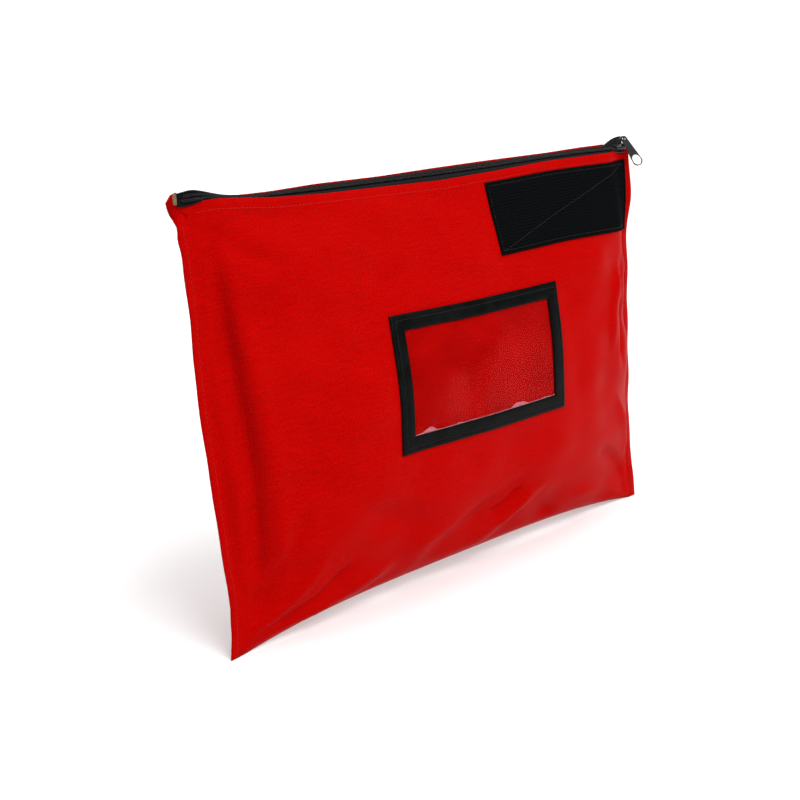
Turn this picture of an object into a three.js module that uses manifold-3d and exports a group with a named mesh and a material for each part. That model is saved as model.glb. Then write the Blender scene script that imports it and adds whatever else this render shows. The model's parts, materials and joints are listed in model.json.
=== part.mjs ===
// Flat zip-top mailing pouch: one folded nylon panel, a coil zip across the mouth, a label holder
// with a clear window, and a plain corner patch. Millimetres, +Z up, the front faces -Y, the zip
// closes towards +X. The origin is under the middle of the pouch, on the surface it stands on.
import * as THREE from "three";
import { mergeVertices } from "three/addons/utils/BufferGeometryUtils.js";
import Module from "manifold-3d";

// ---- driving dimensions ----
const POUCH_WIDTH = 457;
const SEAM_ALLOWANCE = 9;
const FRONT_HEM_Z = 323.6;
const BACK_HEM_Z = 328.4;
const END_HEM_Z = 320.6;
const END_DIP_LENGTH = 24;
const BOTTOM_ARCH = 12;
const SIDE_PULL = 3;
const WALL = 1.2;
const FRONT_CROWN = 39;
const BACK_CROWN = 27;
const FRONT_FLAT = 37.5;
const BACK_FLAT = 20;
const MOUTH_HALF_GAP = 5.6;
const COLUMNS = 32;
const ROWS = 16;
const GAP = 0.35;

const ZIP_TILT = THREE.MathUtils.degToRad(20);
const ZIP_Z = 326;
const CHAIN_START = -221.5;
const CHAIN_END = 223.5;
const COIL_INNER = 0.7;
const COIL_WIDTH = 2.2;
const COIL_HEIGHT = 2;
const TAPE_THICKNESS = 0.6;
const TAPE_REACH = 5.25;
const TAPE_END_REACH = 3.9;
const TAPE_TUCK_START = 0.9;
const TAPE_DROP = 8;
const STOP_LENGTH = 3;

const SLIDER_X = 222.2;
const SLIDER_LENGTH = 12.4;
const SLIDER_HALF_WIDTH = 3.9;
const SLIDER_TOP = 3.4;
const PLATE = 1;
const SLIDER_BOTTOM = -2.2;
const BAIL_HALF_SPAN = 5;
const BAIL_RADIUS = 0.6;
const BAIL_TOP = 11.8;
const PIVOT_HEIGHT = 9.2;
const PIVOT_X = 4.4;

const TAB_LENGTH = 28;
const TAB_THICKNESS = 1;
const TAB_EYE = 1.6;
const TAB_NECK = 2.6;
const TAB_END = 4.4;
const TAB_RIM = 1;
const TAB_HOLE_LENGTH = 9.8;
const TAB_DROP = THREE.MathUtils.degToRad(58.7);
const TAB_TURN = THREE.MathUtils.degToRad(7);
const TAB_ROLL = THREE.MathUtils.degToRad(-38.4);

const LABEL_CENTRE = { x: 4, z: 174 };
const LABEL_SIZE = { x: 178, z: 102 };
const LABEL_STRIP = 12.5;
const LABEL_THICKNESS = 1;
const FILM_THICKNESS = 0.4;
const FILM_INSET = 4;
const PATCH = { x0: 44, x1: 212, z0: 256, z1: 314, thickness: 1 };
const THREAD_WIDTH = 0.8;
const THREAD_THICKNESS = 0.5;
const THREAD_GAP = 0.5;
const HEM_STITCH_DROP = 6;
const SIDE_STITCH_INSET = 4.5;

const wasm = await Module();
wasm.setup();

// ---- materials ----
const material = (color, roughness, metalness = 0) =>
  new THREE.MeshStandardMaterial({ color, roughness, metalness });
const NYLON = material(0xc80808, 0.5);
const BLACK_WEBBING = material(0x101012, 0.8);
const BLACK_VINYL = material(0x16181a, 0.45);
const BLACK_LOOP = material(0x0b0c0d, 0.95);
const BLACK_METAL = material(0x0f1111, 0.35, 0.4);
const BRASS = material(0xb08d3c, 0.4, 1);
const CLEAR_FILM = material(0xe8e8ee, 0.15);
const RED_THREAD = material(0xb00a0a, 0.6);
const BLACK_THREAD = material(0x141414, 0.6);

// ---- solid helpers ----
const clamp01 = (value) => Math.min(Math.max(value, 0), 1);

function smoothstep(value) {
  const t = clamp01(value);
  return t * t * (3 - 2 * t);
}

// Six times the signed volume inside a list of corner indices; it is negative inside out.
function signedVolume(position, corners) {
  const [a, b, c] = [new THREE.Vector3(), new THREE.Vector3(), new THREE.Vector3()];
  let sum = 0;
  for (let i = 0; i < corners.length; i += 3) {
    a.fromBufferAttribute(position, corners[i]);
    b.fromBufferAttribute(position, corners[i + 1]);
    c.fromBufferAttribute(position, corners[i + 2]);
    sum += a.dot(b.cross(c));
  }
  return sum;
}

// Indexed geometry from [x, y, z] points and triangles: equal points merged, faces turned out.
function geometryFrom(points, triangles) {
  const geometry = new THREE.BufferGeometry();
  geometry.setAttribute("position", new THREE.Float32BufferAttribute(points.flat(), 3));
  geometry.setIndex(triangles.flat());
  const merged = mergeVertices(geometry, 1e-4);
  const index = merged.getIndex().array;
  const kept = [];
  for (let i = 0; i < index.length; i += 3) {
    const [a, b, c] = [index[i], index[i + 1], index[i + 2]];
    if (a !== b && b !== c && a !== c) kept.push(a, b, c);
  }
  if (signedVolume(merged.getAttribute("position"), kept) < 0) kept.reverse();
  merged.setIndex(kept);
  merged.computeVertexNormals();
  return merged;
}

// Two triangles over the corners a, b, c, d of a four-sided face.
const quad = (a, b, c, d) => [[a, b, c], [a, c, d]];

// Closed solid through rings of equal length; the rings run anticlockwise seen along the loft.
function loft(rings, closed = false) {
  const size = rings[0].length;
  const points = rings.flat();
  const triangles = [];
  const spans = closed ? rings.length : rings.length - 1;
  for (let j = 0; j < spans; j += 1) {
    const here = j * size;
    const next = ((j + 1) % rings.length) * size;
    for (let i = 0; i < size; i += 1) {
      const k = (i + 1) % size;
      triangles.push(...quad(here + i, next + i, next + k, here + k));
    }
  }
  if (!closed) {
    const last = (rings.length - 1) * size;
    for (let i = 1; i < size - 1; i += 1) {
      triangles.push([0, i, i + 1], [last, last + i + 1, last + i]);
    }
  }
  return geometryFrom(points, triangles);
}

// Sheet between two surfaces given over the same grid of columns and rows; near faces -Y.
function sheet(columns, rows, near, far) {
  const points = [];
  const at = (side, i, j) => side * (columns + 1) * (rows + 1) + j * (columns + 1) + i;
  for (const surface of [near, far]) {
    for (let j = 0; j <= rows; j += 1) {
      for (let i = 0; i <= columns; i += 1) points.push(surface(i / columns, j / rows));
    }
  }
  const triangles = [];
  for (let j = 0; j < rows; j += 1) {
    for (let i = 0; i < columns; i += 1) {
      triangles.push(...quad(at(0, i, j), at(0, i + 1, j), at(0, i + 1, j + 1), at(0, i, j + 1)));
      triangles.push(...quad(at(1, i, j), at(1, i, j + 1), at(1, i + 1, j + 1), at(1, i + 1, j)));
    }
  }
  for (let i = 0; i < columns; i += 1) {
    triangles.push(...quad(at(0, i, 0), at(1, i, 0), at(1, i + 1, 0), at(0, i + 1, 0)));
    triangles.push(...quad(at(0, i + 1, rows), at(1, i + 1, rows), at(1, i, rows), at(0, i, rows)));
  }
  for (let j = 0; j < rows; j += 1) {
    const k = j + 1;
    triangles.push(...quad(at(0, 0, k), at(1, 0, k), at(1, 0, j), at(0, 0, j)));
    triangles.push(...quad(at(0, columns, j), at(1, columns, j), at(1, columns, k), at(0, columns, k)));
  }
  return geometryFrom(points, triangles);
}

function toManifold(geometry) {
  const bare = new THREE.BufferGeometry();
  bare.setAttribute("position", geometry.getAttribute("position"));
  if (geometry.getIndex()) bare.setIndex(geometry.getIndex());
  const merged = mergeVertices(bare, 1e-4);
  const vertProperties = new Float32Array(merged.getAttribute("position").array);
  const triVerts = new Uint32Array(merged.getIndex().array);
  return new wasm.Manifold(new wasm.Mesh({ numProp: 3, vertProperties, triVerts }));
}

function fromManifold(solid) {
  const result = solid.getMesh();
  const geometry = new THREE.BufferGeometry();
  geometry.setAttribute("position", new THREE.BufferAttribute(result.vertProperties, 3));
  geometry.setIndex(new THREE.BufferAttribute(result.triVerts, 1));
  geometry.computeVertexNormals();
  return geometry;
}

function extrude(shape, depth, curveSegments = 10) {
  return new THREE.ExtrudeGeometry(shape, { depth, bevelEnabled: false, curveSegments });
}

// ---- the pouch surface ----
const SEAM_X = POUCH_WIDTH / 2 - SEAM_ALLOWANCE;

// Share of the crown at the height v, from 0 at the bottom fold to 1 at the mouth.
const crownUp = (v) => Math.sin(Math.PI * clamp01(v) ** 0.72);

// Share of the crown across the width, from 0 at the side seams to 1 in the middle.
function crownAcross(x) {
  const u = Math.min(Math.abs(x) / SEAM_X, 1);
  return (1 - u ** 3) ** 0.75;
}

const mouthAcross = (x) => 1 - smoothstep((Math.abs(x) - (SEAM_X - END_DIP_LENGTH)) / END_DIP_LENGTH);

// Half of the hollow's depth in front of and behind the seam plane. What lies in the pouch keeps
// the middle of both walls flat.
function frontGap(x, v) {
  const mouth = MOUTH_HALF_GAP * mouthAcross(x) * clamp01(v);
  return Math.min(FRONT_CROWN * crownUp(v) * crownAcross(x) + mouth, FRONT_FLAT);
}

function backGap(x, v) {
  const mouth = MOUTH_HALF_GAP * mouthAcross(x) * clamp01(v);
  return Math.min(BACK_CROWN * crownUp(v) * crownAcross(x) + mouth, BACK_FLAT);
}

const bottomZ = (x) => BOTTOM_ARCH * (1 - Math.min(Math.abs(x) / (POUCH_WIDTH / 2), 1) ** 5);

function rimZ(x, hemZ) {
  return END_HEM_Z + (hemZ - END_HEM_Z) * mouthAcross(x);
}

const heightAt = (x, v, hemZ) => bottomZ(x) + (rimZ(x, hemZ) - bottomZ(x)) * v;

// The side edges pull in a little between the corners.
const pulled = (x, v) => x * (1 - (2 * SIDE_PULL * Math.sin(Math.PI * clamp01(v))) / POUCH_WIDTH);

// Point of the front wall's outer face at x and z, moved out by the given distance.
function onFront(x, z, out) {
  const v = clamp01((z - bottomZ(x)) / (rimZ(x, FRONT_HEM_Z) - bottomZ(x)));
  return [x, -(WALL + frontGap(x, v) + out), z];
}

function onBack(x, z, out) {
  const v = clamp01((z - bottomZ(x)) / (rimZ(x, BACK_HEM_Z) - bottomZ(x)));
  return [x, WALL + backGap(x, v) + out, z];
}

// Columns are closer together near the side seams, where the walls curve most.
function columnX(i) {
  const s = (2 * i) / COLUMNS - 1;
  return SEAM_X * Math.sin((Math.PI / 2) * s) * 0.45 + SEAM_X * s * 0.55;
}

// One folded sheet: outer faces with their sewn side allowances, inner faces, and an open mouth.
function bodyPanel() {
  const half = POUCH_WIDTH / 2;
  const outerX = [-half, ...Array.from({ length: COLUMNS + 1 }, (_, i) => columnX(i)), half];
  const innerX = outerX.slice(1, -1);
  const points = [];
  const triangles = [];
  const loopStart = [];
  const addLoop = (xs, v, layer) => {
    loopStart.push(points.length);
    const inside = layer === "inner";
    const lift = inside && v === 0 ? WALL : 0;
    const side = (x, gap, hemZ, sign) => {
      const depth = inside ? gap : gap + (v === 0 ? 0.7 * WALL : WALL);
      points.push([pulled(x, v), sign * depth, heightAt(x, v, hemZ) + lift]);
    };
    for (const x of xs) side(x, frontGap(x, v), FRONT_HEM_Z, -1);
    for (const x of [...xs].reverse()) side(x, backGap(x, v), BACK_HEM_Z, 1);
  };
  const join = (lower, upper, count, inward) => {
    for (let i = 0; i < count; i += 1) {
      const k = (i + 1) % count;
      const corners = [lower + i, lower + k, upper + k, upper + i];
      triangles.push(...(inward ? quad(...[...corners].reverse()) : quad(...corners)));
    }
  };
  for (let j = 0; j <= ROWS; j += 1) addLoop(outerX, j / ROWS, "outer");
  for (let j = 0; j <= ROWS; j += 1) addLoop(innerX, j / ROWS, "inner");
  const outerCount = 2 * outerX.length;
  const innerCount = 2 * innerX.length;
  for (let j = 0; j < ROWS; j += 1) {
    join(loopStart[j], loopStart[j + 1], outerCount, false);
    join(loopStart[ROWS + 1 + j], loopStart[ROWS + 2 + j], innerCount, true);
  }
  for (let i = 0; i < outerX.length - 1; i += 1) {
    triangles.push(...quad(i + 1, i, outerCount - 1 - i, outerCount - 2 - i));
  }
  // The rim between the outer and the inner loop at the mouth, front, back and the two ends.
  const outer = loopStart[ROWS];
  const inner = loopStart[2 * ROWS + 1];
  const n = outerX.length;
  const m = innerX.length;
  for (let i = 0; i < m - 1; i += 1) {
    triangles.push(...quad(outer + 1 + i, outer + 2 + i, inner + i + 1, inner + i));
    triangles.push(...quad(outer + n + 1 + i, outer + n + 2 + i, inner + m + i + 1, inner + m + i));
  }
  triangles.push(...quad(outer + n - 2, outer + n - 1, outer + n, outer + n + 1));
  triangles.push(...quad(outer + 2 * n - 2, outer + 2 * n - 1, outer, outer + 1));
  triangles.push([outer + n - 2, outer + n + 1, inner + m - 1]);
  triangles.push([outer + 2 * n - 2, outer + 1, inner]);
  return geometryFrom(points, triangles);
}

// ---- the zip: its coils, stops and slider are drawn in a tilted frame, with x along the chain,
// y across it and z out of the pouch ----

// Stations along the mouth: the columns of the walls, carried on to the ends of the tapes.
function tapeStations() {
  const columns = Array.from({ length: COLUMNS + 1 }, (_, i) => columnX(i));
  return [CHAIN_START - 6, ...columns.slice(1, -1), CHAIN_END + 4];
}

// A tape runs flat beside its coil, then turns down behind the hem that it is sewn to. Over the
// ends of the mouth only the flat part goes on.
function zipTape(sign) {
  const gapAt = sign < 0 ? frontGap : backGap;
  const hemZ = sign < 0 ? FRONT_HEM_Z : BACK_HEM_Z;
  const rings = tapeStations().map((x) => {
    const tucked = smoothstep((mouthAcross(x) - TAPE_TUCK_START) / (1 - TAPE_TUCK_START));
    const drop = 0.3 + TAPE_DROP * tucked;
    const reach = Math.min(TAPE_REACH, Math.max(gapAt(x, 1) - GAP, TAPE_END_REACH));
    const rim = rimZ(x, hemZ);
    const cornerZ = ZIP_Z + sign * reach * Math.tan(ZIP_TILT);
    const lowZ = cornerZ - TAPE_THICKNESS - drop;
    const lowV = clamp01((lowZ - bottomZ(x)) / (rim - bottomZ(x)));
    const lowY = reach + (gapAt(x, lowV) - GAP - reach) * tucked;
    const edge = [sign * Math.cos(ZIP_TILT), sign * Math.sin(ZIP_TILT) + ZIP_Z];
    return [
      [x, edge[0], edge[1]],
      [x, edge[0], edge[1] - TAPE_THICKNESS],
      [x, sign * (reach - TAPE_THICKNESS), cornerZ - TAPE_THICKNESS],
      [x, sign * (lowY - TAPE_THICKNESS), lowZ],
      [x, sign * lowY, lowZ],
      [x, sign * reach, cornerZ],
    ];
  });
  return loft(rings);
}

function bar(x0, x1, y0, y1, z0, z1) {
  const box = new THREE.BoxGeometry(x1 - x0, y1 - y0, z1 - z0);
  return box.translate((x0 + x1) / 2, (y0 + y1) / 2, (z0 + z1) / 2);
}

// Half-round strand of the coil, extruded along the chain.
function zipCoil(sign) {
  const shape = new THREE.Shape();
  const inner = COIL_INNER;
  const outer = COIL_INNER + COIL_WIDTH;
  shape.moveTo(inner, GAP);
  shape.lineTo(outer, GAP);
  shape.lineTo(outer, GAP + 0.5 * COIL_HEIGHT);
  shape.quadraticCurveTo(outer, GAP + COIL_HEIGHT - 0.3, inner, GAP + COIL_HEIGHT - 0.3);
  shape.closePath();
  const start = CHAIN_START + GAP;
  const strand = extrude(shape, CHAIN_END - start, 3);
  strand.rotateX(Math.PI / 2);
  strand.rotateZ(Math.PI / 2);
  strand.translate(start, 0, 0);
  if (sign > 0) return strand;
  const low = toManifold(strand).mirror([0, 1, 0]);
  return fromManifold(low);
}

function zipTopStop(sign) {
  const y0 = COIL_INNER;
  const y1 = COIL_INNER + COIL_WIDTH;
  const x0 = CHAIN_END + GAP;
  const low = sign < 0 ? -y1 : y0;
  return bar(x0, x0 + STOP_LENGTH, low, low + y1 - y0, GAP, GAP + COIL_HEIGHT - 0.3);
}

function zipBottomStop() {
  const width = COIL_INNER + COIL_WIDTH + 0.5;
  return bar(CHAIN_START - STOP_LENGTH, CHAIN_START, -width, width, GAP, GAP + COIL_HEIGHT);
}

// Plate of the slider: a shield outline, wide at the nose and narrow at the tail.
function sliderPlate(z) {
  const half = SLIDER_LENGTH / 2;
  const shape = new THREE.Shape();
  shape.moveTo(-half, -0.8 * SLIDER_HALF_WIDTH);
  shape.lineTo(0, -SLIDER_HALF_WIDTH);
  shape.lineTo(half - 1.5, -SLIDER_HALF_WIDTH);
  shape.quadraticCurveTo(half, -SLIDER_HALF_WIDTH, half, -SLIDER_HALF_WIDTH + 1.6);
  shape.lineTo(half, SLIDER_HALF_WIDTH - 1.6);
  shape.quadraticCurveTo(half, SLIDER_HALF_WIDTH, half - 1.5, SLIDER_HALF_WIDTH);
  shape.lineTo(0, SLIDER_HALF_WIDTH);
  shape.lineTo(-half, 0.8 * SLIDER_HALF_WIDTH);
  shape.closePath();
  return extrude(shape, PLATE, 4).translate(0, 0, z);
}

// The bail is a wire arch along the chain, from the tail to the nose of the top plate.
function bailArch() {
  const foot = SLIDER_TOP - 0.3;
  const top = BAIL_TOP - BAIL_RADIUS;
  const route = new THREE.CatmullRomCurve3([
    new THREE.Vector3(-BAIL_HALF_SPAN, 0, foot),
    new THREE.Vector3(-BAIL_HALF_SPAN, 0, PIVOT_HEIGHT),
    new THREE.Vector3(-0.5 * BAIL_HALF_SPAN, 0, top),
    new THREE.Vector3(0.4 * BAIL_HALF_SPAN, 0, top),
    new THREE.Vector3(BAIL_HALF_SPAN, 0, PIVOT_HEIGHT),
    new THREE.Vector3(BAIL_HALF_SPAN, 0, foot),
  ]);
  const section = new THREE.Shape().absarc(0, 0, BAIL_RADIUS, 0, 2 * Math.PI);
  return new THREE.ExtrudeGeometry(section, { steps: 18, extrudePath: route, curveSegments: 5 });
}

function sliderBody() {
  const half = SLIDER_LENGTH / 2;
  const lip = 0.5;
  const lipZ = 0.9;
  const parts = [
    sliderPlate(SLIDER_TOP - PLATE),
    sliderPlate(SLIDER_BOTTOM),
    bar(1, half - 0.5, -0.35, 0.35, SLIDER_BOTTOM + 0.5, SLIDER_TOP - 0.5),
    bar(0, half - 1.6, SLIDER_HALF_WIDTH - lip, SLIDER_HALF_WIDTH, lipZ, SLIDER_TOP - 0.5),
    bar(0, half - 1.6, -SLIDER_HALF_WIDTH, lip - SLIDER_HALF_WIDTH, lipZ, SLIDER_TOP - 0.5),
    bailArch(),
  ].map(toManifold);
  const solid = parts.reduce((sum, next) => sum.add(next));
  return fromManifold(solid);
}

// Flat tab, wider at its free end, with an eye round the bail and a large oval finger hole.
// It is drawn pointing along -Y with the eye's centre at the origin.
function pullTab() {
  const tip = TAB_LENGTH - TAB_END;
  const holeCentre = TAB_HOLE_LENGTH / 2 + TAB_RIM - TAB_LENGTH;
  const outline = new THREE.Shape();
  outline.absarc(0, 0, TAB_NECK, 0, Math.PI, false);
  outline.lineTo(-TAB_END, -tip);
  outline.absarc(0, -tip, TAB_END, Math.PI, 2 * Math.PI, false);
  outline.closePath();
  const eye = new THREE.Path().absarc(0, 0, TAB_EYE, 0, 2 * Math.PI);
  const hole = new THREE.Path();
  hole.absellipse(0, holeCentre, TAB_END - TAB_RIM, TAB_HOLE_LENGTH / 2, 0, 2 * Math.PI);
  outline.holes.push(eye, hole);
  return extrude(outline, TAB_THICKNESS, 12).translate(0, 0, -TAB_THICKNESS / 2);
}

// ---- what is sewn to the front ----
// Four strips in one piece round the window, following the front wall.
function labelFrame() {
  const out = GAP + FILM_THICKNESS + GAP;
  const ring = [];
  const half = { x: LABEL_SIZE.x / 2, z: LABEL_SIZE.z / 2 };
  const sides = [
    { n: 14, at: (t) => [-1 + 2 * t, -1] },
    { n: 8, at: (t) => [1, -1 + 2 * t] },
    { n: 14, at: (t) => [1 - 2 * t, 1] },
    { n: 8, at: (t) => [-1, 1 - 2 * t] },
  ];
  for (const side of sides) {
    for (let i = 0; i < side.n; i += 1) {
      const [sx, sz] = side.at(i / side.n);
      const outer = [LABEL_CENTRE.x + sx * half.x, LABEL_CENTRE.z + sz * half.z];
      const inner = [
        LABEL_CENTRE.x + sx * (half.x - LABEL_STRIP),
        LABEL_CENTRE.z + sz * (half.z - LABEL_STRIP),
      ];
      ring.push([
        onFront(...outer, out + LABEL_THICKNESS),
        onFront(...inner, out + LABEL_THICKNESS),
        onFront(...inner, out),
        onFront(...outer, out),
      ]);
    }
  }
  return loft(ring, true);
}

// Rectangle of sheet on the front wall, from out to out + thickness.
function frontSheet(x0, x1, z0, z1, out, thickness, columns, rows) {
  const near = (s, t) => onFront(x0 + (x1 - x0) * s, z0 + (z1 - z0) * t, out + thickness);
  const far = (s, t) => onFront(x0 + (x1 - x0) * s, z0 + (z1 - z0) * t, out);
  return sheet(columns, rows, near, far);
}

function labelWindow() {
  const half = { x: LABEL_SIZE.x / 2 - FILM_INSET, z: LABEL_SIZE.z / 2 - FILM_INSET };
  const { x, z } = LABEL_CENTRE;
  return frontSheet(x - half.x, x + half.x, z - half.z, z + half.z, GAP, FILM_THICKNESS, 14, 8);
}

// ---- threads: a thin bead along each row of stitches ----
// place(t, across, out) gives the point at share t of the row, moved across it and out of the wall.
function threadBead(count, place, closed = false) {
  const rings = [];
  const last = closed ? count - 1 : count;
  for (let i = 0; i <= last; i += 1) {
    const t = i / count;
    rings.push([
      place(t, -THREAD_WIDTH / 2, THREAD_GAP),
      place(t, THREAD_WIDTH / 2, THREAD_GAP),
      place(t, THREAD_WIDTH / 2, THREAD_GAP + THREAD_THICKNESS),
      place(t, -THREAD_WIDTH / 2, THREAD_GAP + THREAD_THICKNESS),
    ]);
  }
  return loft(rings, closed);
}

// Topstitching that holds a tape under its hem, column by column along the wall.
function hemStitch(surface, hemZ) {
  const spans = COLUMNS - 2;
  return threadBead(spans, (t, across, out) => {
    const x = columnX(1 + Math.round(t * spans));
    return surface(x, rimZ(x, hemZ) - HEM_STITCH_DROP + across, out);
  });
}

// Row of stitches down a side allowance, through both layers.
function sideStitch(sign) {
  const x = POUCH_WIDTH / 2 - SIDE_STITCH_INSET;
  return threadBead(24, (t, across, out) => {
    const v = 0.02 + 0.955 * t;
    return [sign * pulled(x, v) - across, -(WALL + out), heightAt(x, v, FRONT_HEM_Z)];
  });
}

// Closed row of stitches round a rectangle on the front, a little inside its edge.
function rectangleStitch(x0, x1, z0, z1, inset, surfaceOut) {
  const centre = { x: (x0 + x1) / 2, z: (z0 + z1) / 2 };
  const corner = (across) => ({
    x: (x1 - x0) / 2 - inset + across,
    z: (z1 - z0) / 2 - inset + across,
  });
  const turns = [[-1, -1], [1, -1], [1, 1], [-1, 1]];
  const perSide = 18;
  return threadBead(4 * perSide, (t, across, out) => {
    const place = t * 4;
    const side = Math.min(Math.floor(place + 1e-9), 3);
    const share = place - side;
    const from = turns[side];
    const to = turns[(side + 1) % 4];
    const half = corner(-across);
    const x = centre.x + half.x * (from[0] + (to[0] - from[0]) * share);
    const z = centre.z + half.z * (from[1] + (to[1] - from[1]) * share);
    return onFront(x, z, surfaceOut + out);
  }, true);
}

// ---- assembly ----
const pouch = new THREE.Group();

function add(parent, name, geometry, finish) {
  const mesh = new THREE.Mesh(geometry, finish);
  mesh.name = name;
  parent.add(mesh);
  return mesh;
}

add(pouch, "body_panel", bodyPanel(), NYLON);

const zip = new THREE.Group();
zip.position.set(0, 0, ZIP_Z);
zip.rotation.x = ZIP_TILT;
pouch.add(zip);
add(pouch, "zip_tape_front", zipTape(-1), BLACK_WEBBING);
add(pouch, "zip_tape_back", zipTape(1), BLACK_WEBBING);
add(zip, "zip_coil_front", zipCoil(-1), BLACK_WEBBING);
add(zip, "zip_coil_back", zipCoil(1), BLACK_WEBBING);
add(zip, "zip_top_stop_front", zipTopStop(-1), BLACK_METAL);
add(zip, "zip_top_stop_back", zipTopStop(1), BLACK_METAL);
add(zip, "zip_bottom_stop", zipBottomStop(), BRASS);

const slider = new THREE.Group();
slider.position.set(SLIDER_X, 0, 0);
zip.add(slider);
add(slider, "slider_body", sliderBody(), BLACK_METAL);

// The tab hangs over the front hem from the nose leg of the bail.
const tab = new THREE.Group();
tab.position.set(PIVOT_X, 0, PIVOT_HEIGHT);
tab.rotation.set(TAB_DROP - ZIP_TILT, 0, 0);
slider.add(tab);
const tabMesh = add(tab, "pull_tab", pullTab(), BLACK_METAL);
tabMesh.rotation.set(0, TAB_ROLL, TAB_TURN, "ZYX");

add(pouch, "label_window", labelWindow(), CLEAR_FILM);
add(pouch, "label_frame", labelFrame(), BLACK_VINYL);
const patchSheet = frontSheet(PATCH.x0, PATCH.x1, PATCH.z0, PATCH.z1, GAP, PATCH.thickness, 18, 6);
add(pouch, "corner_patch", patchSheet, BLACK_LOOP);

const labelOut = GAP + FILM_THICKNESS + GAP + LABEL_THICKNESS;
const labelEdges = [
  LABEL_CENTRE.x - LABEL_SIZE.x / 2,
  LABEL_CENTRE.x + LABEL_SIZE.x / 2,
  LABEL_CENTRE.z - LABEL_SIZE.z / 2,
  LABEL_CENTRE.z + LABEL_SIZE.z / 2,
];
const patchEdges = [PATCH.x0, PATCH.x1, PATCH.z0, PATCH.z1];
add(pouch, "label_stitch", rectangleStitch(...labelEdges, 4, labelOut), BLACK_THREAD);
add(pouch, "patch_stitch", rectangleStitch(...patchEdges, 2.5, GAP + PATCH.thickness), BLACK_THREAD);
add(pouch, "hem_stitch_front", hemStitch(onFront, FRONT_HEM_Z), RED_THREAD);
add(pouch, "hem_stitch_back", hemStitch(onBack, BACK_HEM_Z), RED_THREAD);
add(pouch, "side_stitch_left", sideStitch(-1), RED_THREAD);
add(pouch, "side_stitch_right", sideStitch(1), RED_THREAD);

// The origin is under the middle of the whole object's box.
const bounds = new THREE.Box3().setFromObject(pouch, true);
const middle = bounds.getCenter(new THREE.Vector3());
pouch.position.set(-middle.x, -middle.y, -bounds.min.z);

export default pouch;
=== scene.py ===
import json
import math

import bpy
import numpy as np
from mathutils import Matrix, Vector


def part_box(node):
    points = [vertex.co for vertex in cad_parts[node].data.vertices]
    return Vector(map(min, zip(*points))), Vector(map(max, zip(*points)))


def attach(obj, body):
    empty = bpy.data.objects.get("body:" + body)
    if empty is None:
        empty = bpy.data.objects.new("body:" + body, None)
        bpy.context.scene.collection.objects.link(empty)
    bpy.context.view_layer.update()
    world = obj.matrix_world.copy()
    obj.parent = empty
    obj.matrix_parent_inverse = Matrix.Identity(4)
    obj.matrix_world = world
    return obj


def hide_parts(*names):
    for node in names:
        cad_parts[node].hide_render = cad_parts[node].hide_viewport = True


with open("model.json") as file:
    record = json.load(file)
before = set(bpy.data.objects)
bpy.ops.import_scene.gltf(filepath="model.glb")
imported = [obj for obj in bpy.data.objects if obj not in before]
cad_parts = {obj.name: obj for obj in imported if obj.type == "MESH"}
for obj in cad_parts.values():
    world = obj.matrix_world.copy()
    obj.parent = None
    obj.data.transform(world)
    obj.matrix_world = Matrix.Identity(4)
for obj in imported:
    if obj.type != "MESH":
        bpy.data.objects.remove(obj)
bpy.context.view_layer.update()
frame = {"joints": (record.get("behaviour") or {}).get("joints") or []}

# ---- measures, in metres, taken from the frame ----
BODY_LOW, BODY_HIGH = (np.array(corner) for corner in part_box("body_panel"))
FRONT_TAPE_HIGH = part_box("zip_tape_front")[1]
BACK_TAPE_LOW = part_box("zip_tape_back")[0]
COIL_LOW, COIL_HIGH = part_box("zip_coil_front")
SLIDER_LOW, SLIDER_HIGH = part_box("slider_body")
STOP_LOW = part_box("zip_bottom_stop")[0]
FRAME_LOW, FRAME_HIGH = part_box("label_frame")
PATCH_LOW, PATCH_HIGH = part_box("corner_patch")
HEM_LEVEL = 0.3236
MID_X = (BODY_LOW[0] + BODY_HIGH[0]) / 2
HALF_WIDTH = (BODY_HIGH[0] - BODY_LOW[0]) / 2
SEAM_Y = (FRONT_TAPE_HIGH[1] + BACK_TAPE_LOW[1]) / 2
ZIP_TILT = math.radians(20)
ZIP_Z = FRONT_TAPE_HIGH[2] + 0.001 * math.sin(ZIP_TILT)
BASE_Z = BODY_LOW[2]

SEAM_ALLOWANCE = 0.009
SEAM_X = HALF_WIDTH - SEAM_ALLOWANCE
# heights of the two hems along the mouth (across, height): it sags left of the middle
FRONT_HEM = ((-0.2195, 0.3186), (-0.211, 0.3206), (-0.203, 0.3217), (-0.185, 0.3206), (-0.165, 0.3189),
             (-0.15, 0.3178), (-0.11, 0.3168), (0.0, 0.3166), (0.06, 0.3190), (0.12, 0.3222),
             (0.20, 0.3234), (0.2195, 0.3245))
BACK_HEM = ((-0.2195, 0.3236), (-0.205, 0.3232), (-0.188, 0.3220), (-0.170, 0.3218), (-0.15, 0.3219),
            (-0.11, 0.3236), (-0.05, 0.3241), (0.0, 0.3258), (0.06, 0.3274), (0.13, 0.3286),
            (0.18, 0.3304), (0.198, 0.3306), (0.209, 0.3312), (0.2145, 0.3280), (0.2195, 0.3256))
# how far the side seams stand in from the straight line (share of the height, distance)
LEFT_PULL = ((0.0, 0.0), (0.06, 0.0040), (0.12, 0.0058), (0.17, 0.0052), (0.22, 0.0044), (0.30, 0.0034),
             (0.40, 0.0030), (0.50, 0.0012), (0.60, 0.0003), (0.70, 0.0007), (0.80, 0.0017),
             (0.90, 0.0026), (0.96, 0.0014), (1.0, 0.0))
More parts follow.
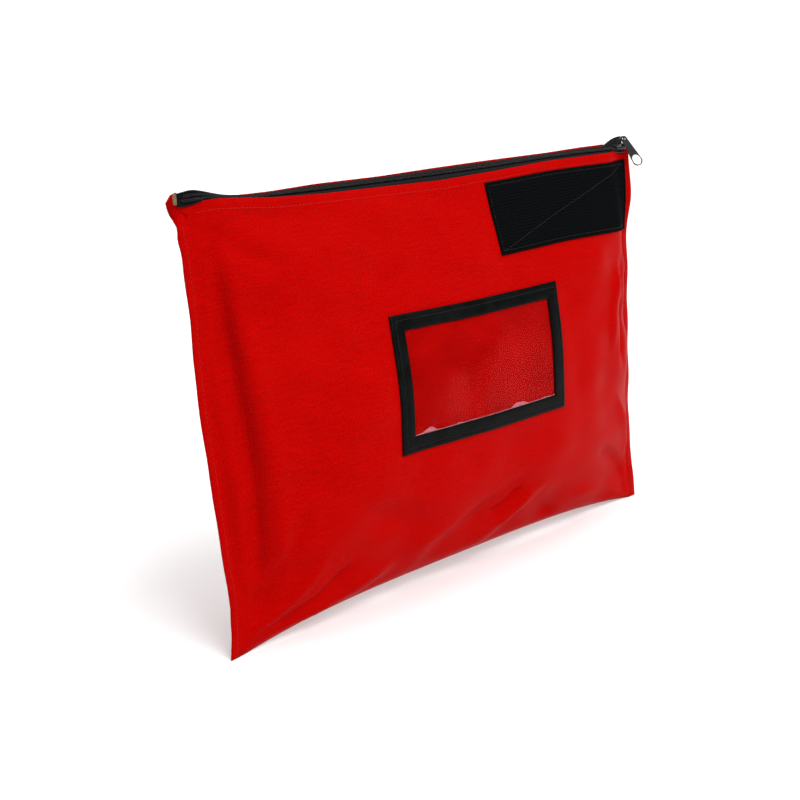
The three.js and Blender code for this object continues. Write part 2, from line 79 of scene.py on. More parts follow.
# the top left corner, with the end of the zip, leans back (across, distance)
CORNER_LEAN = ((-0.2285, 0.0070), (-0.2240, 0.0048), (-0.2190, 0.0026), (-0.2130, 0.0008),
               (-0.2070, 0.0))
RIGHT_PULL = ((0.0, 0.0005), (0.05, 0.0028), (0.10, 0.0046), (0.17, 0.0040), (0.25, 0.0026),
              (0.40, 0.0018), (0.60, 0.0002), (0.78, -0.0012), (0.87, -0.0034), (0.95, -0.0036),
              (1.0, -0.0032))
END_DIP = 0.024
BACK_RIGHT_DIP = 0.010
BOTTOM_ARCH = 0.0130
FRONT_CROWN = 0.039
BACK_CROWN = 0.027
BACK_FLAT = 0.0205
MOUTH_HALF_GAP = 0.0062
GRID = 0.003
ROWS = 108
WALL_HEIGHT = 0.310
COLUMNS = round(2 * SEAM_X / GRID)


# ---- helpers ----
def smoothstep(value):
    t = np.clip(value, 0, 1)
    return t * t * (3 - 2 * t)


def unit(vectors):
    return vectors / np.maximum(np.linalg.norm(vectors, axis=-1, keepdims=True), 1e-12)


def linked(name, data):
    """A new object in the scene."""
    piece = bpy.data.objects.new(name, data)
    bpy.context.scene.collection.objects.link(piece)
    return piece


def attached(piece, body, node=None):
    """Sets the body that a piece moves with, and the node it is shown in place of."""
    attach(piece, body)
    if node:
        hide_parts(node)
    return piece


def mesh_object(name, points, faces, material, flat=None):
    """A mesh object; flat gives each point's place on its cut pattern, for the weave."""
    mesh = bpy.data.meshes.new(name)
    mesh.from_pydata([tuple(map(float, p)) for p in points], [], [tuple(map(int, f)) for f in faces])
    mesh.validate()
    if flat is not None:
        layer = mesh.attributes.new("flat", "FLOAT_VECTOR", "POINT")
        layer.data.foreach_set("vector", np.asarray(flat, np.float32).ravel())
    mesh.materials.append(material)
    mesh.shade_smooth()
    return linked(name, mesh)


def grid_faces(rows, columns, first=0, flip=False):
    j, i = np.meshgrid(np.arange(rows - 1), np.arange(columns - 1), indexing="ij")
    a = first + j * columns + i
    quads = np.stack([a, a + 1, a + 1 + columns, a + columns], -1).reshape(-1, 4)
    return quads[:, ::-1] if flip else quads


def slab(outer, inner, flip=False):
    """Points and faces of the closed sheet between two grids of the same size."""
    rows, columns = outer.shape[:2]
    count = rows * columns
    points = np.concatenate([outer.reshape(-1, 3), inner.reshape(-1, 3)])
    edge = [(0, i) for i in range(columns - 1)] + [(j, columns - 1) for j in range(rows - 1)]
    edge += [(rows - 1, i) for i in range(columns - 1, 0, -1)] + [(j, 0) for j in range(rows - 1, 0, -1)]
    ring = np.array([j * columns + i for j, i in edge])
    after = np.roll(ring, -1)
    walls = np.stack([ring, ring + count, after + count, after], -1)
    if flip:
        walls = walls[:, ::-1]
    faces = np.concatenate(
        [grid_faces(rows, columns, 0, flip), grid_faces(rows, columns, count, not flip), walls]
    )
    return points, faces


def ring_faces(rings, count, closed=False):
    """Quads between rings of count points; closed joins the last ring to the first."""
    faces = []
    for j in range(rings if closed else rings - 1):
        k = (j + 1) % rings
        for i in range(count):
            after = (i + 1) % count
            faces.append((j * count + i, j * count + after, k * count + after, k * count + i))
    return faces


def grid_normals(points):
    """Unit normals of a grid of points, toward the side from which rows go up, columns right."""
    across = np.gradient(points, axis=1)
    up = np.gradient(points, axis=0)
    return unit(np.cross(across, up))


def soft_line(knots, at):
    """A smooth line through a few (place, value) knots."""
    places, values = np.array(knots).T
    total = 0
    for shift in np.linspace(-0.006, 0.006, 7):
        total = total + np.interp(at + shift, places, values)
    return total / 7


# ---- the pouch walls ----
def crown_up(v):
    """Share of the crown at a height: fullest a little below the middle."""
    return np.sin(np.pi * np.clip(v, 0, 1) ** 0.72)


def crown_across(across, v):
    """Share of the crown at a place; the right side near the patch stands out more fully."""
    u = np.clip(np.abs(across) / SEAM_X, 0, 1)
    power = 3 + 3.5 * smoothstep((v - 0.45) / 0.35) * (across > 0)
    return (1 - u**power) ** 0.75


def mouth_across(across, dip=END_DIP):
    """How open the mouth is: fully, except close to its ends."""
    return 1 - smoothstep((np.abs(across) - (SEAM_X - dip)) / dip)


def bottom_z(across):
    u = np.clip(np.abs(across) / HALF_WIDTH, 0, 1)
    return BASE_Z + BOTTOM_ARCH * (1 - np.minimum(u / 0.97, 1) ** 3.4)


def leaning(v):
    """The corner's lean begins near the top."""
    return smoothstep((v - 0.91) / 0.08)


def wall_grid():
    """Places of a wall's grid points: across, as one row, and up, as one column."""
    return np.linspace(-SEAM_X, SEAM_X, COLUMNS + 1)[None, :], np.linspace(0, 1, ROWS + 1)[:, None]


def start_walls():
    """Front and back wall as grids [row, column] of points, from the fold up to the hems."""
    across, v = wall_grid()
    walls = []
    left_pull, right_pull = (np.interp(v, *np.array(pull).T) for pull in (LEFT_PULL, RIGHT_PULL))
    pull = np.where(across < 0, left_pull, right_pull)
    for sign, crown, hem in ((-1, FRONT_CROWN, FRONT_HEM), (1, BACK_CROWN, BACK_HEM)):
        dip = np.where((sign > 0) & (across > 0), BACK_RIGHT_DIP, END_DIP)
        mouth = MOUTH_HALF_GAP * mouth_across(across, dip) * v
        gap = crown * crown_up(v) * crown_across(across, v) + mouth
        if sign > 0:
            gap = np.minimum(gap, BACK_FLAT)
        low = bottom_z(across)
        rim = soft_line(hem, across)
        x = MID_X + across - np.sign(across) * pull * np.abs(across / SEAM_X) ** 3
        z = low + (rim - low) * v
        lean = soft_line(CORNER_LEAN, across) * leaning(v)
        walls.append(np.stack([x, SEAM_Y + sign * gap + lean, z + 0 * x], -1))
    return walls


def pattern_up(z, across=0.0):
    """Share of the wall's height at which a point that high above the floor lies."""
    low = bottom_z(np.asarray(across))
    return (z - low) / (soft_line(FRONT_HEM, across) - low)


class Wall:
    """A wall of the pouch that other pieces are laid on, by their place on its flat pattern."""

    def __init__(self, points, outward):
        self.points = points
        self.normals = outward * grid_normals(points)

    def at(self, across, up, out=0.0):
        """Points at across (metres from the middle) and up (share of the height)."""
        rows, columns = self.points.shape[:2]
        i = np.clip((np.asarray(across) / HALF_WIDTH + 1) / 2, 0, 1) * (columns - 1)
        j = np.clip(np.asarray(up), 0, 1) * (rows - 1)
        i0 = np.minimum(i.astype(int), columns - 2)
        j0 = np.minimum(j.astype(int), rows - 2)
        fi = (i - i0)[..., None]
        fj = (j - j0)[..., None]

        def mix(values):
            low = values[j0, i0] * (1 - fi) + values[j0, i0 + 1] * fi
            high = values[j0 + 1, i0] * (1 - fi) + values[j0 + 1, i0 + 1] * fi
            return low * (1 - fj) + high * fj

        return mix(self.points) + unit(mix(self.normals)) * np.asarray(out)[..., None]


# ---- wrinkles and folds, on the flat pattern: across in metres, up as a share of the height ----
# every height in the lists is multiplied by this
FOLD_DEPTH = 1.3
# the cloth is held flat this close to the side seams, the bottom fold and the hem
HELD = (0.010, 0.012, 0.014)
FRONT_SEED = 3
BACK_SEED = 8
# across, up, across, up, width, height (negative is a hollow)
FRONT_FOLDS = (
    (-0.208, 0.12, -0.207, 0.93, 0.0058, -0.0052),
    (-0.192, 0.10, -0.190, 0.82, 0.0080, 0.0028),
    (0.010, 0.115, 0.048, 0.150, 0.0034, -0.0034),
    (0.020, 0.085, 0.060, 0.125, 0.0046, 0.0022),
    (0.196, 0.66, 0.182, 0.44, 0.0042, 0.0022),
    (-0.216, 0.04, -0.150, 0.16, 0.0050, 0.0030),
    (-0.205, 0.03, -0.120, 0.10, 0.0050, -0.0032),
    (-0.216, 0.08, -0.165, 0.30, 0.0060, -0.0024),
    (-0.180, 0.02, -0.080, 0.06, 0.0060, 0.0022),
    (-0.060, 0.03, 0.050, 0.22, 0.0090, -0.0026),
    (-0.020, 0.01, 0.075, 0.16, 0.0080, 0.0026),
    (-0.140, 0.30, -0.060, 0.12, 0.0120, -0.0018),
    (-0.150, 0.95, -0.120, 0.62, 0.0110, 0.0016),
    (-0.080, 0.97, -0.072, 0.76, 0.0100, -0.0018),
    (-0.020, 0.97, 0.000, 0.80, 0.0090, 0.0013),
    (0.188, 0.70, 0.172, 0.46, 0.0060, 0.0026),
    (0.200, 0.74, 0.188, 0.40, 0.0060, -0.0030),
    (0.216, 0.06, 0.150, 0.20, 0.0060, -0.0026),
    (0.205, 0.02, 0.120, 0.08, 0.0060, 0.0022),
    (0.214, 0.12, 0.185, 0.34, 0.0060, 0.0020),
    (-0.214, 0.96, -0.160, 0.84, 0.0070, -0.0018),
    (0.110, 0.02, 0.060, 0.12, 0.0070, -0.0020),
)
BACK_FOLDS = (
    (-0.207, 0.12, -0.206, 0.90, 0.0060, -0.0026),
    (0.207, 0.12, 0.206, 0.90, 0.0060, -0.0026),
    (-0.216, 0.04, -0.140, 0.18, 0.0060, 0.0026),
    (0.216, 0.04, 0.140, 0.18, 0.0060, 0.0026),
    (-0.205, 0.03, -0.110, 0.10, 0.0060, -0.0026),
    (0.205, 0.03, 0.110, 0.10, 0.0060, -0.0026),
    (-0.090, 0.97, -0.070, 0.70, 0.0110, -0.0016),
    (0.060, 0.97, 0.075, 0.74, 0.0110, 0.0014),
    (-0.020, 0.02, 0.040, 0.16, 0.0080, -0.0020),
)


def fold_relief(across, up, folds):
    """Height out of the wall of a list of folds with soft ends."""
    relief = np.zeros(np.broadcast(across, up).shape)
    for a0, u0, a1, u1, width, height in folds:
        start = np.array([a0, u0 * WALL_HEIGHT])
        way = np.array([a1, u1 * WALL_HEIGHT]) - start
        length = np.linalg.norm(way)
        way = way / length
        dx = across - start[0]
        dy = up * WALL_HEIGHT - start[1]
        along = (dx * way[0] + dy * way[1]) / length
        off = -dx * way[1] + dy * way[0] + 0.004 * np.sin(4 * along + 30 * a0)
        ends = smoothstep(along / 0.3 + 0.2) * smoothstep((1 - along) / 0.3 + 0.2)
        relief = relief + height * ends * np.exp(-((off / width) ** 2))
    return relief


def ripple(across, up, seed):
    """Small unevenness of the cloth, in metres, from a few sine waves with seeded phases."""
    random = np.random.default_rng(seed)
    total = np.zeros(np.broadcast(across, up).shape)
    for wavelength in (0.13, 0.09, 0.062, 0.044, 0.031):
        for _ in range(4):
            turn, phase = random.uniform(0, 2 * np.pi, 2)
            wave = np.cos(turn) * across + np.sin(turn) * up * WALL_HEIGHT
            total = total + 0.006 * wavelength * np.sin(2 * np.pi * wave / wavelength + phase)
    return total


def seam_pucker(across, up):
    """Gathering of the cloth where it runs into the side seams and the bottom fold."""
    side = np.exp(-(SEAM_X - np.abs(across)) / 0.010)
    foot = np.exp(-up * WALL_HEIGHT / 0.012)
    beat = np.sin(up * WALL_HEIGHT / 0.0034 + 1.7 * np.sin(up * 21))
    run = np.sin(across / 0.0075 + 1.3 * np.sin(across * 60))
    return 0.0006 * side * beat * (across != 0) + 0.0008 * foot * run


def stiffened(across, up):
    """How freely the cloth wrinkles: little under the label's frame and under the corner patch."""
    free = np.ones(np.broadcast(across, up).shape)
    for low, high, share in ((FRAME_LOW, FRAME_HIGH, 0.75), (PATCH_LOW, PATCH_HIGH, 0.7)):
        left, right = low[0] - MID_X, high[0] - MID_X
        foot, head = pattern_up(low[2]), pattern_up(high[2])
        beside = np.maximum(np.maximum(left - across, across - right), 0)
        above = np.maximum(np.maximum(foot - up, up - head), 0) * WALL_HEIGHT
        free = free * (1 - share * np.exp(-((np.hypot(beside, above) / 0.014) ** 2)))
    return free


def wrinkled(points, outward, folds, seed, free=1.0):
    """The wall with its folds, held where it is sewn."""
    across, up = wall_grid()
    from_edge = (SEAM_X - np.abs(across), up * WALL_HEIGHT, (1 - up) * WALL_HEIGHT)
    held = math.prod(smoothstep(distance / reach) for distance, reach in zip(from_edge, HELD))
    relief = FOLD_DEPTH * fold_relief(across, up, folds)
    relief = relief + ripple(across, up, seed) + seam_pucker(across, up)
    normals = outward * grid_normals(points)
    return points + normals * (relief * held * free)[..., None]


# ---- pieces of the pouch ----
CLOTH = 0.0005
SKIN = 0.0003
# height of the cloth's outer face above the wall
FACE = SKIN + CLOTH / 2
FLANGE_STEPS = 3
# the left allowance turns forward below its head (share of the height, its reach), the right one curls
FLANGE_TURN = math.radians(27)
TURN_AT, TURN_REACH = 0.962, 0.018
CURL = 0.0045
CURL_AT, CURL_REACH = 0.89, 0.06
# how far each allowance stands up beside the zip's end, from the seam outwards
FLANGE_HEAD = ((0.0, 0.0), (0.34, 0.0098), (0.67, 0.0090), (1.0, 0.0048))
RIGHT_HEAD = ((0.0, 0.0), (0.34, 0.0018), (0.67, 0.0030), (1.0, 0.0024))
HEM_TURN = 0.011
HEM_ROWS = 5
HEM_HALF = 0.0003
HEM_ROLL = 0.0004


def flange(seam, inner_front, inner_back, side):
    """Points of the sewn side allowance, step by step out from the seam."""
    outwards = unit(seam - (inner_front + inner_back) / 2)
    kernel = np.hanning(31) / np.hanning(31).sum()
    padded = np.pad(outwards, ((15, 15), (0, 0)), mode="edge")
    smooth = np.stack([np.convolve(padded[:, k], kernel, "valid") for k in range(3)], -1)
    smooth[:, 0] = side * np.maximum(np.abs(smooth[:, 0]), 0.85)
    outwards = unit(smooth)
    up = np.linspace(0, 1, len(seam))
    wave = 0.0007 * np.sin(up * 23 + side) + 0.0005 * np.sin(up * 41 + 2 * side)
    head = smoothstep((up - 0.945) / 0.055)
    profile = np.array(FLANGE_HEAD if side < 0 else RIGHT_HEAD).T
    curl = CURL * np.exp(-(((up - CURL_AT) / CURL_REACH) ** 2)) * (side > 0)
    turn = FLANGE_TURN * np.exp(-(((up - TURN_AT) / TURN_REACH) ** 2)) * (side < 0)
    forward = np.array([0.0, -1.0, 0.0])
    outwards = outwards * np.cos(turn)[:, None] + forward * np.sin(turn)[:, None]
    steps = []
    for k in range(1, FLANGE_STEPS + 1):
        share = k / FLANGE_STEPS
        point = seam + outwards * SEAM_ALLOWANCE * share
        point[:, 1] += wave * share - curl * share + 0.0045 * leaning(up) * share * (side < 0)
        point[:, 2] += head * np.interp(share, *profile)
        steps.append(point)
    return np.stack(steps, 1)


def hem_rows(rows, outward):
    """The hem: the cloth turned over the rim and down inside. rows run from the fold to the rim."""
    rim = rows[-1]
    normals = outward * grid_normals(rows)
    down = unit(rows[-1 - HEM_ROWS] - rim)
    roll = [rim + normals[-1] * HEM_HALF * math.cos(t) - down * HEM_ROLL * math.sin(t)
            for t in np.linspace(math.pi / 3, math.pi, 4)]
    inside = [rim + down * k * HEM_TURN / HEM_ROWS - normals[-1] * HEM_HALF
              for k in range(1, HEM_ROWS + 1)]
    return np.stack(roll + inside)


def side_flange(front, back, side):
    """The side allowance of two walls: -1 is the left one, 1 the right one."""
    seam, beside = (0, 3) if side < 0 else (-1, -4)
    return flange(front[:, seam], front[:, beside], back[:, beside], side)


def pouch_strip(front, back):
    """Both walls with the side allowances that join them."""
    left = side_flange(front, back, -1)[:, ::-1]
    right = side_flange(front, back, 1)
    return [np.concatenate([left, wall, right], 1) for wall in (front, back)]


def strip_pattern(front, back):
    """Each grid point's place on the flat pattern, in metres, from the front hem to the back hem."""
    columns = front.shape[1]
    across = np.linspace(-HALF_WIDTH, HALF_WIDTH, columns)
    rows = np.concatenate([front[::-1], back[1:]])
    middle = rows[:, columns // 2]
    steps = np.linalg.norm(np.diff(middle, axis=0), axis=1)
    along = np.concatenate([[0], np.cumsum(steps)])
    return np.stack([np.tile(across, (len(rows), 1)), np.tile(along[:, None], columns),
                     np.zeros((len(rows), columns))], -1)


def body_shell(front, back, material):
    """The whole folded panel: down the front, through the fold and up the back."""
    front_out = front + SKIN * grid_normals(front)
    back_out = back - SKIN * grid_normals(back)
    fold = (front_out[0] + back_out[0]) / 2
    fold[:, 2] -= SKIN
    front_out[0] = fold
    front_full = np.concatenate([front_out, hem_rows(front, 1)])
    back_full = np.concatenate([fold[None], back_out[1:], hem_rows(back, -1)])
    strip = np.concatenate([front_full[::-1], back_full[1:]])
    normals = grid_normals(strip)
    outer = strip - normals * CLOTH / 2
    inner = strip + normals * CLOTH / 2
    points, faces = slab(outer, inner, flip=True)
    pattern = strip_pattern(front_full, back_full).reshape(-1, 3)
    return mesh_object("pouch_cloth", points, faces, material, flat=np.concatenate([pattern, pattern]))


def laid_sheet(name, wall, low, high, out, thickness, material, step=0.003, relief=None):
    """Closed sheet that lies on the front between two pattern corners (across, up)."""
    columns = max(2, round((high[0] - low[0]) / step) + 1)
    rows = max(2, round((high[1] - low[1]) * WALL_HEIGHT / step) + 1)
    across, up = np.meshgrid(np.linspace(low[0], high[0], columns), np.linspace(low[1], high[1], rows))
    extra = 0 * across if relief is None else relief(across, up)
    outer = wall.at(across, up, out + thickness + extra)
    inner = wall.at(across, up, out + 0.8 * extra)
    points, faces = slab(outer, inner)
    flat = np.stack([across, up * WALL_HEIGHT, 0 * up], -1).reshape(-1, 3)
    return mesh_object(name, points, faces, material, flat=np.concatenate([flat, flat]))


def frame_ring(name, wall, low, high, profile, underside, material, step=0.003):
    """Closed rectangular ring on the wall; profile is (inset, height) from outer to inner edge."""
    size = np.array([high[0] - low[0], (high[1] - low[1]) * WALL_HEIGHT])
    middle = np.array([(low[0] + high[0]) / 2, (low[1] + high[1]) / 2 * WALL_HEIGHT])
    counts = [max(4, round(length / step)) for length in (size[0], size[1], size[0], size[1])]
    turns = [(-1, -1), (1, -1), (1, 1), (-1, 1)]
    loops = []
    flats = []
    for inset, height in list(profile) + [(inset, underside) for inset, _ in reversed(profile)]:
        half = size / 2 - inset
        places = []
        for side in range(4):
            start = np.array(turns[side]) * half
            end = np.array(turns[(side + 1) % 4]) * half
            share = np.arange(counts[side])[:, None] / counts[side]
            places.append(middle + start + (end - start) * share)
        places = np.concatenate(places)
        loops.append(wall.at(places[:, 0], places[:, 1] / WALL_HEIGHT, height))
        flats.append(np.column_stack([places, np.full(len(places), inset)]))
    faces = ring_faces(len(loops), len(loops[0]), closed=True)
    return mesh_object(name, np.concatenate(loops), faces, material, flat=np.concatenate(flats))


# ---- threads ----
STITCH_PITCH = 0.0031
STITCH_LENGTH = 0.0024
THREAD_RADIUS = 0.00028
STITCH_SLANT = 0.00022
STITCH_SIDES = 6
# seeds of the rows' unevenness; a label or patch side adds its number
LABEL_SEED = 0
PATCH_SEED = 10
DIAGONAL_SEED = 20
HEM_SEED = 31
SIDE_SEED = 40
# height of a stitch along its length: its ends dip into the cloth
STITCH_ARCH = ((-0.5, -0.0004), (-0.36, 0.0001), (0, 0.0002), (0.36, 0.0001), (0.5, -0.0004))


def tube(path, radius, sides=8):
    """Points and faces of a closed round tube with flat ends along a path of points."""
    path = np.asarray(path)
    tangent = unit(np.gradient(path, axis=0))
    helper = np.where(np.abs(tangent[:, 2:3]) < 0.9, [[0, 0, 1]], [[0, 1, 0]])
    first = unit(np.cross(tangent, helper))
    second = np.cross(tangent, first)
    turn = np.linspace(0, 2 * np.pi, sides, endpoint=False)
    radius = np.broadcast_to(radius, len(path))
    ring = first[:, None] * np.cos(turn)[:, None] + second[:, None] * np.sin(turn)[:, None]
    points = path[:, None] + ring * radius[:, None, None]
    faces = ring_faces(len(path), sides)
    faces.append(tuple(reversed(range(sides))))
    last = (len(path) - 1) * sides
    faces.append(tuple(last + i for i in range(sides)))
    return points.reshape(-1, 3), faces


def joined(parts):
    """One list of points and faces from several."""
    points, faces, count = [], [], 0
    for part_points, part_faces in parts:
        points.append(np.asarray(part_points))
        faces += [tuple(int(i) + count for i in face) for face in part_faces]
        count += len(part_points)
    return np.concatenate(points), faces


def stitch_row(surface, start, end, out, seed):
    """Stitches between two (across, up) places; surface(across, up, out) gives points."""
    random = np.random.default_rng(seed)
    start, end = np.array(start, float), np.array(end, float)
    way = (end - start) * [1, WALL_HEIGHT]
    length = np.linalg.norm(way)
    side = np.array([-way[1], way[0]]) / length
    count = max(1, int(length / STITCH_PITCH))
    parts = []
    for k in range(count):
        centre = (k + 0.5) * length / count
        slant = random.uniform(-STITCH_SLANT, STITCH_SLANT)
        stitch = []
        for step, lift in STITCH_ARCH:
            place = start + (end - start) * (centre + step * STITCH_LENGTH) / length
            place = place + side * slant * step * 2 / [1, WALL_HEIGHT]
            stitch.append(surface(place[0], place[1], out + lift))
        parts.append(tube(np.array(stitch).reshape(-1, 3), THREAD_RADIUS, STITCH_SIDES))
    return parts


def stitched(name, rows, material, node=None):
    """Rows of stitches as one piece."""
    points, faces = joined([part for row in rows for part in row])
    return attached(mesh_object(name, points, faces, material), "pouch", node)


def sewn_round(surface, low, high, out, seed):
    """Rows of stitches along the four sides of a rectangle on the pattern."""
    corners = [low, (high[0], low[1]), high, (low[0], high[1])]
    return [stitch_row(surface, corners[k], corners[(k + 1) % 4], out, seed + k) for k in range(4)]


# ---- the zip, drawn in its tilted frame: along the chain, across it, and out of the pouch ----
COIL_PITCH = 0.0014
COIL_SLOT = 0.0003
COIL_OUTER = 0.0029
COIL_TOP = 0.0021
COIL_FOOT = 0.0002
COIL_SIDES = 6
COIL_STEPS = 14
COIL_SEWING = (0.0012, 0.0022)
FINE_THREAD = 0.00016
WIRE = 0.00042
TAPE = 0.0006
TAPE_DROP = 0.011
TAPE_STEP = 0.0015
# how far the tapes run on past the chain: at its start, and the front and back tape at its end
TAPE_START = 0.0026
TAPE_PAST = {-1: 0.0045, 1: 0.0095}
CHAIN_START = COIL_LOW[0]
CHAIN_END = COIL_HIGH[0]
# how far the chain hangs below its straight line, and how it turns, along the mouth
CHAIN_SAG = ((-0.2245, 0.0022), (-0.211, 0.0021), (-0.203, 0.0028), (-0.193, 0.0044),
             (-0.183, 0.0062), (-0.165, 0.0070), (-0.13, 0.0062), (-0.05, 0.0050), (0.0, 0.0040),
             (0.06, 0.0026), (0.12, 0.0008), (0.17, 0.0))
CHAIN_TURN = ((-0.2245, 1.30), (-0.219, 1.15), (-0.212, 0.80), (-0.204, 0.40), (-0.194, 0.10),
              (-0.175, -0.12), (-0.15, -0.10), (-0.11, 0.10), (0.0, 0.22), (0.06, 0.18),
              (0.12, 0.04), (0.17, 0.0))
# how far the back tape stands above its hem at the left end, and by the slider
HUMP = ((-0.2245, 0.0026), (-0.219, 0.0052), (-0.211, 0.0058), (-0.203, 0.0040), (-0.194, 0.0018),
        (-0.186, 0.0004), (-0.176, 0.0))
# height of the back tape's end, which stands up behind the slider
TAPE_END_TOP = ((0.198, 0.3284), (0.206, 0.3291), (0.2115, 0.3312), (0.2182, 0.3351), (0.2300, 0.3373))
TAPE_END_BACK = 0.0062
RIM_SHOWS = 0.0012
# how far inside the wall a tape lies at the rim and at its lower edge
RIM_INSIDE = 0.0007
FOOT_INSIDE = 0.0010
# the part of a tape that lies flat under the chain, from the middle out
CHAIN_FLAT = (0.0001, 0.0033)
# the zip's left end lies on the front of the corner
CORNER_FRONT = 0.0014


def corner_front(across):
    return CORNER_FRONT * smoothstep((-0.204 - across) / 0.010)


def zip_point(x, y, z):
    """Row-frame points of a place in the zip's frame; x is already in the row frame."""
    x, y, z = np.broadcast_arrays(x, y, z)
    sag = soft_line(CHAIN_SAG, x - MID_X)
    tilt = ZIP_TILT + soft_line(CHAIN_TURN, x - MID_X)
    lean = soft_line(CORNER_LEAN, x - MID_X) - corner_front(x - MID_X)
    return np.stack([x, SEAM_Y + lean + y * np.cos(tilt) - z * np.sin(tilt),
                     ZIP_Z - sag + y * np.sin(tilt) + z * np.cos(tilt)], -1)


def tape(part, sign, wall, material):
    """One zip tape: flat beside the chain, round the rim and down behind the hem."""
    x = np.arange(CHAIN_START - TAPE_START, CHAIN_END + TAPE_PAST[sign], TAPE_STEP)
    across = x - MID_X
    within = np.clip(across, -SEAM_X, SEAM_X)
    rim = wall.at(within, np.ones_like(across), -RIM_INSIDE)
    lower = wall.at(within, np.full_like(across, 1 - TAPE_DROP / WALL_HEIGHT), -FOOT_INSIDE)
    rim[:, 0] = lower[:, 0] = x
    standing = soft_line(HUMP, across)
    lift = standing - RIM_SHOWS * smoothstep((across + 0.18) / 0.02) if sign > 0 else 0 * standing
    inner = zip_point(x, sign * CHAIN_FLAT[0], 0.0)
    beside = zip_point(x, sign * CHAIN_FLAT[1], 0.0001)
    edge = rim.copy()
    lean = soft_line(CORNER_LEAN, across)
    middle_y = SEAM_Y + lean
    aside = np.maximum(np.abs(rim[:, 1] - middle_y) - 0.0002, 0.0007)
    edge[:, 2] += 0.0002 + lift
    if sign > 0:
        aside = np.maximum(aside, TAPE_END_BACK * smoothstep((across - 0.196) / 0.008))
        above = np.maximum(edge[:, 2], soft_line(TAPE_END_TOP, across))
        edge[:, 2] = np.where(across > 0.19, above, edge[:, 2])
    edge[:, 1] = middle_y + sign * aside - corner_front(across)
    swell = zip_point(x, 0.0, 0.0008) - zip_point(x, 0.0, 0.0)
    shoulder = beside + (edge - beside) * 0.6 + swell * (1 + 0.5 * (sign > 0))
    lower = edge + (lower - edge) * (0.06 + 0.94 * smoothstep(mouth_across(across) * 1.4 - 0.4))[:, None]
    turned = edge * 0.9 + lower * 0.1
    lines = [inner, (inner + beside) / 2, beside, (beside + shoulder) / 2 + 0.3 * swell, shoulder,
             edge, turned, (turned + lower) / 2, lower]
    grid = np.stack(lines)
    normals = grid_normals(grid)
    upward = np.sign(normals[1, len(x) // 2, 2])
    under = grid - upward * normals * TAPE
    points, faces = slab(grid, under, flip=upward < 0)
    steps = np.linalg.norm(np.diff(grid[:, len(x) // 2], axis=0), axis=1)
    width = np.concatenate([[0], np.cumsum(steps)])
    flat = [np.tile(x, (len(lines), 1)), np.tile(width[:, None], len(x)), 0 * grid[..., 0]]
    flat = np.stack(flat, -1).reshape(-1, 3)
    piece = mesh_object("tape_" + part, points, faces, material, flat=np.concatenate([flat, flat]))
    attached(piece, "pouch", "zip_tape_" + part)


def coil(part, sign, material):
    """One side of the chain: a nylon wire wound flat, its heads in the middle."""
    turns = int((CHAIN_END - CHAIN_START) / COIL_PITCH) - 1
    t = np.arange(turns * COIL_STEPS + 1) / COIL_STEPS
    angle = 2 * np.pi * t
    shift = 0.5 * COIL_PITCH if sign > 0 else 0.0
    centre = (COIL_SLOT + COIL_OUTER) / 2
    half_y = (COIL_OUTER - COIL_SLOT) / 2 - WIRE
    half_z = (COIL_TOP - COIL_FOOT) / 2 - WIRE
    squared = 0.8
    y = centre - half_y * np.sign(np.cos(angle)) * np.abs(np.cos(angle)) ** squared
    z = COIL_FOOT + WIRE + half_z * (1 + np.sin(angle))
    x = CHAIN_START + shift + WIRE + t * COIL_PITCH - 0.18 * COIL_PITCH * np.cos(angle)
    path = zip_point(x, sign * y, z)
    # the wire is thicker at its interlocking heads
    radius = WIRE * (1 + 0.28 * np.clip(np.cos(angle), 0, 1) ** 3)
    piece = mesh_object("coil_" + part, *tube(path, radius, COIL_SIDES), material)
    attached(piece, "pouch", "zip_coil_" + part)


def coil_stitches(material):
    """Two rows of sewing over each coil that hold it to its tape."""
    parts = []
    for sign in (-1, 1):
        for line in COIL_SEWING:
            count = int((CHAIN_END - CHAIN_START - 0.002) / (2 * COIL_PITCH))
            place = np.arange(2 * count + 1)
            x = CHAIN_START + 0.001 + place * COIL_PITCH
            z = np.where(place % 2 == 0, COIL_TOP + 0.00012, COIL_TOP - 0.00022)
            parts.append(tube(zip_point(x, sign * line, z), FINE_THREAD, 5))
    stitched("coil_sewing", [parts], material)


# ---- metal pieces ----
def from_outline(name, outline, z0, z1, material, bevel, segments=2, holes=()):
    """A plate from an outline in the x, y plane, with rounded edges."""
    curve = bpy.data.curves.new(name, "CURVE")
    curve.dimensions = "2D"
    curve.fill_mode = "BOTH"
    for ring in (outline, *holes):
        spline = curve.splines.new("POLY")
        spline.points.add(len(ring) - 1)
        for point, (x, y) in zip(spline.points, ring):
            point.co = (x, y, 0, 1)
        spline.use_cyclic_u = True
    curve.extrude = (z1 - z0) / 2 - bevel
    curve.bevel_depth = bevel
    curve.bevel_resolution = segments
    curve.offset = -bevel
    holder = linked(name + "_outline", curve)
    bpy.context.view_layer.update()
    graph = bpy.context.evaluated_depsgraph_get()
    mesh = bpy.data.meshes.new_from_object(holder.evaluated_get(graph))
    bpy.data.objects.remove(holder)
    bpy.data.curves.remove(curve)
    mesh.transform(Matrix.Translation((0, 0, (z0 + z1) / 2)))
    mesh.materials.clear()
    mesh.materials.append(material)
    return linked(name, mesh)


def arc(cx, cy, rx, ry, start, end, count):
    """Points of part of an ellipse, from start to end in degrees."""
    turn = np.radians(np.linspace(start, end, count))
    return [(cx + rx * math.cos(t), cy + ry * math.sin(t)) for t in turn]


def select(pieces):
    bpy.ops.object.select_all(action="DESELECT")
    for piece in pieces:
        piece.select_set(True)
    bpy.context.view_layer.objects.active = pieces[0]


def merge(name, pieces):
    """Several mesh objects as one."""
    select(pieces)
    bpy.ops.object.join()
    pieces[0].name = name
    return pieces[0]


